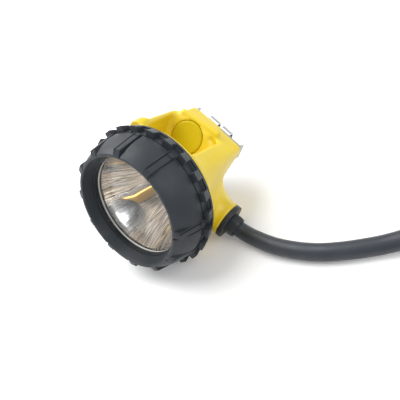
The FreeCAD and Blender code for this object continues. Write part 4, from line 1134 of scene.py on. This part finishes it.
@dataclass
class Housing:
    """The yellow moulding: a shell drawn in to the rear face, the gland's outlet and the button's pod.

    Its surface is where a distance function is zero, so that every join has a moulded fillet. Each
    distance is negative inside, and where a surface leans it gets a factor a little under 1, which
    keeps its slope near 1. A neck is its middle and half its height along the beam; a boss, bore, well
    or stem way is its radius and its place along its own axis, a boss with half its length as well.
    """

    shop: Workshop
    front_radius: float = 35.6
    front_level: float = -2.6
    cut_level: float = -2.9
    power: float = 0.68
    rear_sides: tuple[Point, ...] = (
        (0.0, 1.0, 27.4), (0.0, -1.0, 19.8), (0.9884, -0.1524, 16.1), (-0.9884, -0.1524, 16.1))
    corner_power: float = 13.0
    rear_level: float = -46.0
    rear_slope: float = 0.1727
    rear_sine: float = -0.17021
    rear_cosine: float = 0.98541
    wall: float = 2.4
    throat: float = 27.2
    grid_step: float = 0.85
    pod_half: float = 11.1
    face_sine: float = 0.43837
    face_cosine: float = 0.89879
    ridge: float = 9.9
    foot: float = -10.4
    pod_low: float = 8.5
    fall: float = 8.0
    scoop_front: float = -3.0
    scoop_rise: float = 1.5
    right_lean: float = 0.35
    right_spread: float = 0.22
    spread_from: float = -31.0
    left_lean: float = 0.18
    neck_radius: float = 29.6
    gland_level: float = -18.4
    outlet_radius: float = 9.4
    flare: float = 0.275
    flare_start: float = 31.0
    flare_bend: float = 9.0
    flare_ends: tuple[float, float] = (8.0, 34.95)
    collar: Disc = Disc(9.9, 35.85, 0.95, 0.35)
    flange: Disc = Disc(36.3, -1.65, 1.35, 0.35)
    lug: Disc = Disc(4.6, -4.55, 4.25, 1.2)
    lug_place: tuple[float, float] = (34.4, 131.0)
    brow: Rod = Rod((-17.5, 29.0, -35.2), (5.6, 29.6, -35.2), 2.1)
    shoulder: Rod = Rod((-20.3, 25.5, -8.5), (-20.8, 22.9, -33.0), 5.0)
    dent: Rod = Rod((5.0, 27.2, -31.6), (8.0, 25.6, -31.2), 1.7)
    mouth_level: float = -3.5
    neck: tuple[float, float] = (3.5, 6.82)
    boss: tuple[float, float, float] = (9.0, 28.5, 6.4)
    bore: tuple[float, float] = (6.5, 24.1)
    well: tuple[float, float] = (9.5, -3.8)
    stem_way: tuple[float, float] = (3.6, -9.0)
    well_top: float = 6.0

    def rear_radius(self, angle: np.ndarray) -> np.ndarray:
        """Give the rear outline's radius: each side's distance over the cosine of the angle to it.

        The sides are joined by adding their inverse radii to a high power, which rounds the corners.

        Args:
            angle: the direction round the beam, in radians.

        Returns:
            The radius in each direction.
        """
        total = np.zeros_like(angle)
        for nx, ny, reach in self.rear_sides:
            facing = np.cos(angle) * nx + np.sin(angle) * ny
            total += np.clip(facing / reach, 0.0, None) ** self.corner_power
        return total ** (-1 / self.corner_power)

    def behind(self, x: np.ndarray, z: np.ndarray) -> np.ndarray:
        """Give the distance behind the plane of the rear face."""
        return -(self.rear_sine * x + self.rear_cosine * (z - self.rear_level))

    def before_face(self, y: np.ndarray, z: np.ndarray) -> np.ndarray:
        """Give the distance in front of the plane of the button's face."""
        return self.face_sine * (y - POD.origin[1]) + self.face_cosine * (z - POD.origin[2])

    def on_face(self, along: float) -> tuple[float, float]:
        """Give y and z of a line across the button's face, that far above the button's middle."""
        return POD.origin[1] + along * self.face_cosine, POD.origin[2] - along * self.face_sine

    def shell(self, p: np.ndarray, inset: float) -> np.ndarray:
        """Give the distance outside the drawn-in shell: the radius less the one at this depth.

        The radius goes from the front circle to the rear outline by the share of the depth to a power.

        Args:
            p: points in the beam frame.
            inset: how far inside the surface the shell is taken.

        Returns:
            The distances.
        """
        x, y, z = p[..., 0], p[..., 1], p[..., 2]
        rear_level = self.rear_level + self.rear_slope * x
        share = np.clip((self.front_level - z) / (self.front_level - rear_level), 0.0, 1.0)
        goal = self.rear_radius(np.arctan2(y, x))
        radius = self.front_radius + (goal - self.front_radius) * share ** self.power
        side = (np.hypot(x, y) - radius) * 0.86 + inset
        return smooth_max(side, self.behind(x, z) + inset, 2.0)

    def scoop(self, p: np.ndarray, grow: float) -> np.ndarray:
        """Give the distance outside the finger scoop in front of the button's face.

        Its side walls lean out with the height over its floor, and it widens towards the bezel.

        Args:
            p: points in the beam frame.
            grow: how far outside the scoop's surface the distance is zero.

        Returns:
            The distances.
        """
        x, y, z = p[..., 0], p[..., 1], p[..., 2]
        foot_y, foot_z = self.on_face(self.foot)
        run, rise = self.scoop_front - foot_z, self.neck_radius + self.scoop_rise - foot_y
        length = math.hypot(run, rise)
        floor = -((y - foot_y) * run - (z - foot_z) * rise) / length
        height = np.maximum(-floor, 0.0)
        spread = self.right_spread * np.clip(z - self.spread_from, 0.0, 40.0)
        right = (x - POD.origin[0] - self.pod_half - spread - self.right_lean * height) * 0.90
        left = (POD.origin[0] - self.pod_half - x - self.left_lean * height) * 0.98
        inner = smooth_max(-self.before_face(y, z), floor, 2.0)
        inner = smooth_max(inner, z - self.scoop_front, 0.4)
        return smooth_max(smooth_max(inner, right, 2.6), left, 2.8) - grow

    def pod(self, p: np.ndarray) -> np.ndarray:
        """Give the distance outside the raised strip that holds the button.

        Args:
            p: points in the beam frame.

        Returns:
            The distances.
        """
        x, y, z = p[..., 0], p[..., 1], p[..., 2]
        ridge_y, ridge_z = self.on_face(self.ridge)
        cosine, sine = math.cos(math.radians(self.fall)), math.sin(math.radians(self.fall))
        top = (y - ridge_y) * cosine + (ridge_z - z) * sine
        sides = np.abs(x - POD.origin[0] + 0.3) - self.pod_half - 0.3
        upper = smooth_max(self.before_face(y, z), top, 1.1)
        lower = smooth_max(self.pod_low - y, self.behind(x, z), 1.0)
        block = smooth_max(smooth_max(upper, lower, 0.8), sides, 1.8)
        return smooth_min(block, self.brow.distance(p), 1.0)

    def outlet(self, x: np.ndarray, off_gland: np.ndarray) -> np.ndarray:
        """Give the distance outside the flared outlet, whose radius grows along an arm of a hyperbola.

        Args:
            x: how far towards the gland the points are.
            off_gland: how far they are off the gland's axis.

        Returns:
            The distances.
        """
        away = self.flare_start - x
        growth = self.flare * (away + np.sqrt(away ** 2 + self.flare_bend))
        root, end = self.flare_ends
        flare = (off_gland - self.outlet_radius - growth) * 0.9
        return smooth_max(flare, np.maximum(x - end, root - x), 0.3)

    def button_way(self, p: np.ndarray) -> np.ndarray:
        """Give the distance outside the button's well and the way for its stem.

        Args:
            p: points in the beam frame.

        Returns:
            The distances.
        """
        local = (p - np.array(POD.origin)) @ np.array(POD.axes).T
        off_axis, along = np.hypot(local[..., 0], local[..., 1]), local[..., 2]
        holes = (self.well, self.stem_way)
        well, stem_way = (np.maximum(off_axis - radius, floor - along) for radius, floor in holes)
        return np.maximum(np.minimum(well, stem_way), along - self.well_top)

    def distance(self, p: np.ndarray) -> np.ndarray:
        """Give the distance outside the whole moulding, hollow inside.

        Args:
            p: points in the beam frame.

        Returns:
            The distances.
        """
        x, y, z = p[..., 0], p[..., 1], p[..., 2]
        off_beam, off_gland = np.hypot(x, y), np.hypot(y, z - self.gland_level)
        lug_radius, lug_turn = self.lug_place[0], math.radians(self.lug_place[1])
        off_lug = np.hypot(x - lug_radius * math.cos(lug_turn), y - lug_radius * math.sin(lug_turn))
        cut = z - self.cut_level
        joins = ((self.outlet(x, off_gland), 4.5), (self.collar.distance(off_gland, x), 0.35),
                 (self.lug.distance(off_lug, z), 2.2), (self.shoulder.distance(p), 3.5), (self.pod(p), 1.4))
        body = self.shell(p, 0.0)
        for solid, fillet in joins:
            body = smooth_min(body, solid, fillet)
        body = smooth_max(body, cut, 0.2)
        body = smooth_min(body, self.flange.distance(off_beam, z), 0.5)
        body = smooth_max(body, -self.scoop(p, 0.0), 2.2)
        body = smooth_max(body, -self.dent.distance(p), 0.7)
        hollow = smooth_max(self.shell(p, self.wall), -self.scoop(p, self.wall), 0.8)
        mouth = np.maximum(off_beam - self.throat, self.mouth_level - z)
        body = smooth_max(body, -np.minimum(smooth_max(hollow, cut, 0.2), mouth), 0.3)
        boss = np.maximum(off_gland - self.boss[0], np.abs(x - self.boss[1]) - self.boss[2])
        tube = np.maximum(off_beam - self.neck_radius, self.throat - off_beam)
        neck = np.maximum(tube, np.abs(z - self.neck[0]) - self.neck[1])
        body = np.minimum(np.minimum(body, boss), neck)
        body = smooth_max(body, -np.maximum(off_gland - self.bore[0], self.bore[1] - x), 0.2)
        return smooth_max(body, -self.button_way(p), 0.35)

    def build(self) -> None:
        """Build the moulding."""
        shape = skin(self.distance, (-38.4, -37.6, -54.6), (38.4, 38.4, 11.4), self.grid_step)
        self.shop.solid("housing_moulding", shape, "housing", sharp=62.0)


@dataclass
class Button:
    """The round push button in the pod's face, with a soft edge and a shallow dish."""

    shop: Workshop
    radius: float = 9.32
    top: float = 0.5
    sink: float = 0.25
    edge: float = 0.9
    thick: float = 2.2
    stem_radius: float = 3.0
    stem_end: float = -6.6

    def build(self) -> None:
        """Build the button: a turned section whose top sinks by the square of the radius."""
        flat = self.radius - self.edge
        radius = np.linspace(0.0, flat, 14)
        face = np.stack([radius, self.top - self.sink + self.sink * (radius / flat) ** 2], -1)
        t = np.linspace(0.1, 1.0, 6) * math.pi / 2
        bend = np.stack([flat + self.edge * np.sin(t), self.top - self.edge + self.edge * np.cos(t)], -1)
        under = self.top - self.thick
        stem = [(self.radius, under), (self.stem_radius, under), (self.stem_radius, self.stem_end),
                (0.0, self.stem_end)]
        shape = lathe(np.vstack([face, bend, stem]), 96)
        self.shop.solid("push_button", shape, "switch_button", POD.inside(LYING))


@dataclass
class ReturnSpring:
    """The coil spring under the button, which shortens as the button goes in."""

    shop: Workshop
    node: str = "button_spring"
    travel: float = 1.2

    def build(self) -> None:
        """Copy the spring's solid, find its foot along the button's axis, and give the copy a mesh of its
        own.
        """
        spring = self.shop.copied(self.node, "return_spring")
        pod = POD.inside(LYING)
        height = (points_of(spring.data) - np.array(pod.origin)) @ np.array(pod.axes[Axis.Z])
        foot = pod.carry((0.0, 0.0, height.min())) * MM
        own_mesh(spring)


@dataclass
class Steelwork:
    """The back plate, the folded cap hook and their fasteners, with soft edges."""

    shop: Workshop
    pieces: dict[str, float] = field(default_factory=lambda: {
        "back_plate": 0.18, "cap_hook": 0.2, "hook_rivets": 0.3, "plate_screws": 0.3, "lock_screw": 0.15})
    taper: float = 4.2
    taper_top: float = 15.0
    taper_height: float = 24.5
    taper_from: float = 15.0
    taper_width: float = 3.6

    def trimmed(self, points: np.ndarray) -> np.ndarray:
        """Draw the plate's low corners in, as the housing's sides are: by the depth below the taper's top.

        Args:
            points: the plate's points in the part's frame.

        Returns:
            The moved points.
        """
        rear = REAR.inside(LYING)
        local = (points - np.array(rear.origin)) @ np.array(rear.axes).T
        share = np.clip((self.taper_top - local[:, 1]) / self.taper_height, 0.0, 1.0)
        edge = np.clip((np.abs(local[:, 0]) - self.taper_from) / self.taper_width, 0.0, 1.0)
        local[:, 0] -= np.sign(local[:, 0]) * self.taper * share * edge
        return rear.carry(local)

    def build(self) -> None:
        """Build each piece from its solid, with its edges rounded."""
        for node, width in self.pieces.items():
            self.shop.softened(node, width, self.trimmed if node == "back_plate" else None)


@dataclass
class Gland:
    """The gland's flange and its six-sided nut."""

    shop: Workshop
    bore: float = 4.35
    flange_radius: float = 9.8
    spigot_radius: float = 6.4
    spigot_start: float = 28.8
    flange_back: float = 36.85
    flange_front: float = 39.55
    nut_back: float = 39.60
    nut_front: float = 44.70
    nut_corner: float = 9.0
    flats: float = 10.8
    cone_height: float = 2.6
    cone_slope: float = 0.34

    def nut(self) -> Mesh:
        """Turn the nut: its radius is the inverse 14th root of the sum of the sides' cosines to the 14th.

        A cone takes the front corners off, and the front edge falls in towards the cord.

        Returns:
            The points and the quads.
        """
        angle = np.linspace(0, 2 * math.pi, 144, endpoint=False)[:, None]
        sides = [np.clip(np.cos(angle - k * math.pi / 3 - math.pi / 6), 0.0, None) ** 14 for k in range(6)]
        hexagon = self.flats / 2 * sum(sides) ** (-1 / 14)
        corner = self.flats / math.sqrt(3)
        section = finely(ring(self.bore, self.nut_corner, self.nut_back, self.nut_front, 0.3), 0.5)
        height = section[None, :, 1]
        cone = np.minimum(corner, corner - (height - self.nut_front + self.cone_height) * self.cone_slope)
        side = smooth_min(hexagon, np.maximum(cone, self.flats / 2 - 0.2), 0.3)
        return turned(np.minimum(section[None, :, 0], side), height, angle)

    def build(self) -> None:
        """Build the flange and the nut."""
        corners = [(self.bore, self.spigot_start), (self.spigot_radius, self.spigot_start),
                   (self.spigot_radius, self.flange_back), (self.flange_radius, self.flange_back),
                   (self.flange_radius, self.flange_front), (self.bore, self.flange_front)]
        place = GLAND.inside(LYING)
        flange = lathe(rounded(corners, 0.35), 112)
        self.shop.solid("gland_flange_turned", flange, "gland_flange", place)
        self.shop.solid("gland_nut_faceted", self.nut(), "gland_nut", place)


# The cord


@dataclass
class Cord:
    """The cable from the gland: its free stretch, the coil of its unseen length, and its far end."""

    shop: Workshop
    radius: float = 4.3
    route: tuple[Point, ...] = (
        (0.03268, -0.00054, 0.00718), (0.03727, -0.00108, 0.00430), (0.04780, -0.00320, 0.00430),
        (0.06180, -0.00420, 0.00430), (0.07880, -0.00110, 0.00430), (0.09260, 0.00560, 0.00430),
        (0.10890, 0.01630, 0.00430))
    exit: Point = (0.0352122, -0.0008349, 0.0055909)
    middle: tuple[float, float] = (186.0, -3.1)
    heading: float = 32.0
    pitch: float = 9.4
    inner: float = 37.0
    turns: int = 2
    low: float = 5.5
    lead: float = 20.0
    straight: float = 8.6
    points_per_turn: int = 16
    boot_radius: float = 5.2
    boot_back: float = -3.9
    boot_neck: tuple[float, float, float] = (4.3, 7.0, 14.0)
    boot_end_radius: float = 3.6
    crease_depth: float = 0.12
    crease_pace: float = 2.1
    crease_from: float = 4.0
    crease_to: float = 15.0
    boot_length: float = 18.0
    tail_radius: float = 1.2
    tail_spread: float = 3.6
    tail_length: float = 42.0
    tail_swing: float = 4.0

    def coil_point(self, turn: np.ndarray) -> np.ndarray:
        """Give points of the coil's middle line, in millimetres.

        The radius shrinks by the pitch a turn on the upper layer, dips by a parabola in the half turn
        that steps down, where the height follows half a cosine, and grows again on the lower layer.

        Args:
            turn: turns from the coil's start.

        Returns:
            The points.
        """
        down = float(self.turns)
        part = np.clip(turn - down, 0.0, 0.5)
        high = self.low + self.pitch
        radius = np.where(turn <= down, self.inner + self.pitch * (down - turn),
                          self.inner + self.pitch * (turn - down - 0.5))
        radius = np.where((turn > down) & (turn < down + 0.5),
                          self.inner - self.pitch * part + 2 * self.pitch * part ** 2, radius)
        height = high + (self.low - high) * (1 - np.cos(2 * math.pi * part)) / 2
        angle = math.radians(90 + self.heading) - 2 * math.pi * turn
        x = self.middle[0] + radius * np.cos(angle)
        y = self.middle[1] + radius * np.sin(angle)
        return np.stack([x, y, height], -1)

    def ends(self) -> tuple[np.ndarray, np.ndarray, np.ndarray, np.ndarray]:
        """Give the coil's two end points, a straight diameter beyond its turns, and its directions there.

        Returns:
            The start, the way there, the finish and the way there.
        """
        step, total = 0.0005, 2 * self.turns + 0.5
        near = self.coil_point(np.array([0.0, step, total - step, total]))
        into = (near[1] - near[0]) / np.linalg.norm(near[1] - near[0])
        out = (near[3] - near[2]) / np.linalg.norm(near[3] - near[2])
        return near[0] - into * self.straight, into, near[3] + out * self.straight, out

    def control_points(self) -> np.ndarray:
        """List the spline's control points, in metres: the route's, the coil's and the far end's.

        A control point of a turn stands out by 1 over 0.75 + 0.25 cos(step), so that the spline itself
        keeps the turn's radius.

        Returns:
            The points.
        """
        begin, into, finish, _ = self.ends()
        total = 2 * self.turns + 0.5
        count = int(total * self.points_per_turn)
        turn = (np.arange(count) + 0.5) * total / count
        points = self.coil_point(turn)
        out = 1 / (0.75 + 0.25 * math.cos(2 * math.pi / self.points_per_turn))
        points[:, :2] = np.array(self.middle) + (points[:, :2] - np.array(self.middle)) * out
        lead = begin - into * self.lead
        return np.vstack([np.array(self.route), lead * MM, begin * MM, points * MM, finish * MM])

    def curve(self, name: str, points: np.ndarray, radius: float, node: str,
              also: Sequence[str] = ()) -> Piece:
        """Make a round tube on a smooth spline.

        Args:
            name: the piece's name.
            points: the spline's control points, in metres.
            radius: the tube's radius in millimetres.
            node: the CAD node that it stands for.
            also: further CAD nodes that it stands for.

        Returns:
            The piece.
        """
        data = bpy.data.curves.new(name, "CURVE")
        data.dimensions = "3D"
        data.bevel_depth = radius * MM
        data.bevel_resolution = 6
        data.use_fill_caps = True
        data.resolution_u = 6
        spline = data.splines.new("NURBS")
        spline.points.add(len(points) - 1)
        spline.points.foreach_set("co", np.hstack([points, np.ones((len(points), 1))]).ravel())
        spline.order_u = 3
        spline.use_endpoint_u = True
        return self.shop.finish_piece(placed(name, data), node, also=also)

    def boot(self) -> Piece:
        """Turn the boot over the coil's end: a sleeve that narrows to a rounded end over the two tails.

        Shallow creases run round its narrow part: a sine of the height along it.

        Returns:
            The piece.
        """
        _, _, finish, out = self.ends()
        side = np.array([out[1], -out[0], 0.0])
        frame = Frame(tuple(finish), (tuple(side), tuple(np.cross(out, side)), tuple(out)))
        neck_radius, neck_start, neck_end = self.boot_neck
        corners = [(0.0, self.boot_back), (self.boot_radius, self.boot_back), (self.boot_radius, 3.0),
                   (neck_radius, neck_start), (neck_radius, neck_end),
                   (self.boot_end_radius, self.boot_length), (0.0, self.boot_length)]
        section = finely(rounded(corners, 1.0), 0.8)
        radius, height = section.T
        creased = (height > self.crease_from) & (height < self.crease_to) & (radius > 3.0)
        section[:, 0] += self.crease_depth * np.sin(height * self.crease_pace) * creased
        return self.shop.solid("shrink_boot", lathe(section, 48), "cord_boot", frame)

    def tails(self) -> list[Piece]:
        """Make the two tails from the boot to their tags.

        Returns:
            The two pieces.
        """
        _, _, finish, out = self.ends()
        start_middle = finish + out * self.boot_length
        side_way = np.array([out[1], -out[0], 0.0])
        ahead = out * self.tail_length / 3
        pieces = []
        for node, side in (("tail_positive", 1), ("tail_negative", -1)):
            start = start_middle + side_way * side * self.tail_spread / 2
            drop = np.array([0.0, 0.0, self.tail_radius + 0.1 - start[2]])
            spread = side_way * side * self.tail_swing
            points = np.array([start - out * 3.0, start + ahead * 0.7, start + ahead * 1.8 + drop + spread,
                               start + ahead * 3 + drop + spread * 1.2])
            pieces.append(self.curve(node + "_wire", points * MM, self.tail_radius, node))
        return pieces

    def build(self) -> None:
        """Build the cord with its ties, boot, tails and tags."""
        cable = self.curve("cap_lamp_cord", self.control_points(), self.radius, "cord_run", ["cord_coil"])
        boot = self.boot()
        tails = self.tails()
        ties = self.shop.softened("coil_ties", 0.3)
        tags = self.shop.softened("ring_terminals", 0.12)


# The studio


@dataclass
class Studio:
    """The pale floor, the lamps and the camera."""

    camera_place: Point = (0.139228, -0.088767, 0.14426)
    camera_right: Point = (0.7502, 0.557, -0.3572)
    camera_up: Point = (-0.1882, 0.6968, 0.6923)
    camera_back: Point = (0.6338, -0.4522, 0.6273)
    focal_length: float = 32.4
    world_strength: float = 0.43
    aim: Point = (0.0, 0.0, 0.03)
    floor_half: float = 3.0
    floor_lift: tuple[float, float] = (0.14, 0.9)
    floor_reach: tuple[float, float] = (0.08, 0.30)

    def camera(self) -> None:
        """Put the camera where the photograph was taken from."""
        data = bpy.data.cameras.new("camera")
        data.lens = self.focal_length
        data.sensor_width = 36.0
        data.clip_start = 0.005
        data.clip_end = 20.0
        camera = placed("camera", data)
        turn = Matrix((self.camera_right, self.camera_up, self.camera_back)).transposed()
        camera.matrix_world = Matrix.Translation(Vector(self.camera_place)) @ turn.normalized().to_4x4()
        bpy.context.scene.camera = camera

    def lamp(self, name: str, place: Point, size: float, power: float) -> None:
        """Hang a soft round lamp that faces the object.

        Args:
            name: its name.
            place: where it hangs, in metres.
            size: its width in metres.
            power: its power in watts.
        """
        data = bpy.data.lights.new(name, "AREA")
        data.shape = "DISK"
        data.size = size
        data.energy = power
        turn = (Vector(self.aim) - Vector(place)).to_track_quat("-Z", "Y").to_matrix().to_4x4()
        placed(name, data).matrix_world = Matrix.Translation(Vector(place)) @ turn

    def seen(self, nodes: Nodes) -> Socket:
        """Tell what the camera sees, directly, in gloss or through glass, from light that bounces.

        Args:
            nodes: the tree that gets the nodes.

        Returns:
            1 for what is seen and 0 for the rest.
        """
        path = nodes.add("LightPath", "Is Camera Ray").node.outputs
        either = nodes.number("MAXIMUM", path["Is Camera Ray"], path["Is Glossy Ray"])
        return nodes.number("MAXIMUM", either, path["Is Transmission Ray"])

    def backdrop(self) -> None:
        """Lay the floor: white to the camera, with the object's shadow kept, and brighter further out."""
        half = self.floor_half
        corners = [(-half, -half, 0), (half, -half, 0), (half, half, 0), (-half, half, 0)]
        mesh = bpy.data.meshes.new("floor")
        mesh.from_pydata(corners, [], [(0, 1, 2, 3)])
        n = Surface("floor_white")
        n.tones(n.noise(30.0, 2.0), (0.90, 0.90, 0.90), (0.88, 0.88, 0.88))
        away = n.add("VectorMath", "Value", {"operation": "LENGTH"}, Vector=n.place)
        lift = n.between(away, *self.floor_lift, *self.floor_reach)
        n.set(Roughness=0.9, Specular_IOR_Level=0.1, Emission_Color=(1.0, 1.0, 1.0, 1.0))
        n.set(Emission_Strength=n.number("MULTIPLY", self.seen(n), lift))
        mesh.materials.append(n.material)
        placed("floor", mesh)

    def sky(self) -> None:
        """Light everything evenly, and show plain white to the camera, in gloss and through glass."""
        world = bpy.data.worlds.new("studio")
        bpy.context.scene.world = world
        world.use_nodes = True
        nodes = Nodes(world.node_tree)
        white = (1.0, 1.0, 1.0, 1.0)
        plain = nodes.tree.nodes["Background"]
        nodes.fill(plain, Color=white, Strength=self.world_strength)
        shown = nodes.add("Background", "Background", Color=white, Strength=1.0)
        mix = nodes.add("MixShader", "Shader")
        for target, source in zip(mix.node.inputs, (self.seen(nodes), plain.outputs["Background"], shown)):
            nodes.tree.links.new(source, target)
        nodes.fill(nodes.tree.nodes["World Output"], Surface=mix)

    def build(self) -> None:
        """Set up the camera, the floor, the world and the lamps."""
        bpy.context.scene.view_settings.view_transform = "Standard"
        self.camera()
        self.backdrop()
        self.sky()
        self.lamp("key", (-0.40, 0.0, 0.85), 0.9, 9.9)
        self.lamp("fill", (0.55, 0.10, 0.45), 0.5, 1.6)


def build_lamp() -> None:
    """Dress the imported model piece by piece."""
    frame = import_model()
    shop = Workshop(frame)
    shop.dress_nodes()
    assemblies = (Studio(), Cord(shop), Housing(shop), Bezel(shop), Optics(shop), Button(shop),
                  ReturnSpring(shop), Gland(shop), Steelwork(shop))
    for assembly in assemblies:
        assembly.build()
        log.info("built %s", type(assembly).__name__)


if __name__ == "__main__":
    logging.basicConfig(level=logging.INFO, format="%(name)s: %(message)s")
    build_lamp()
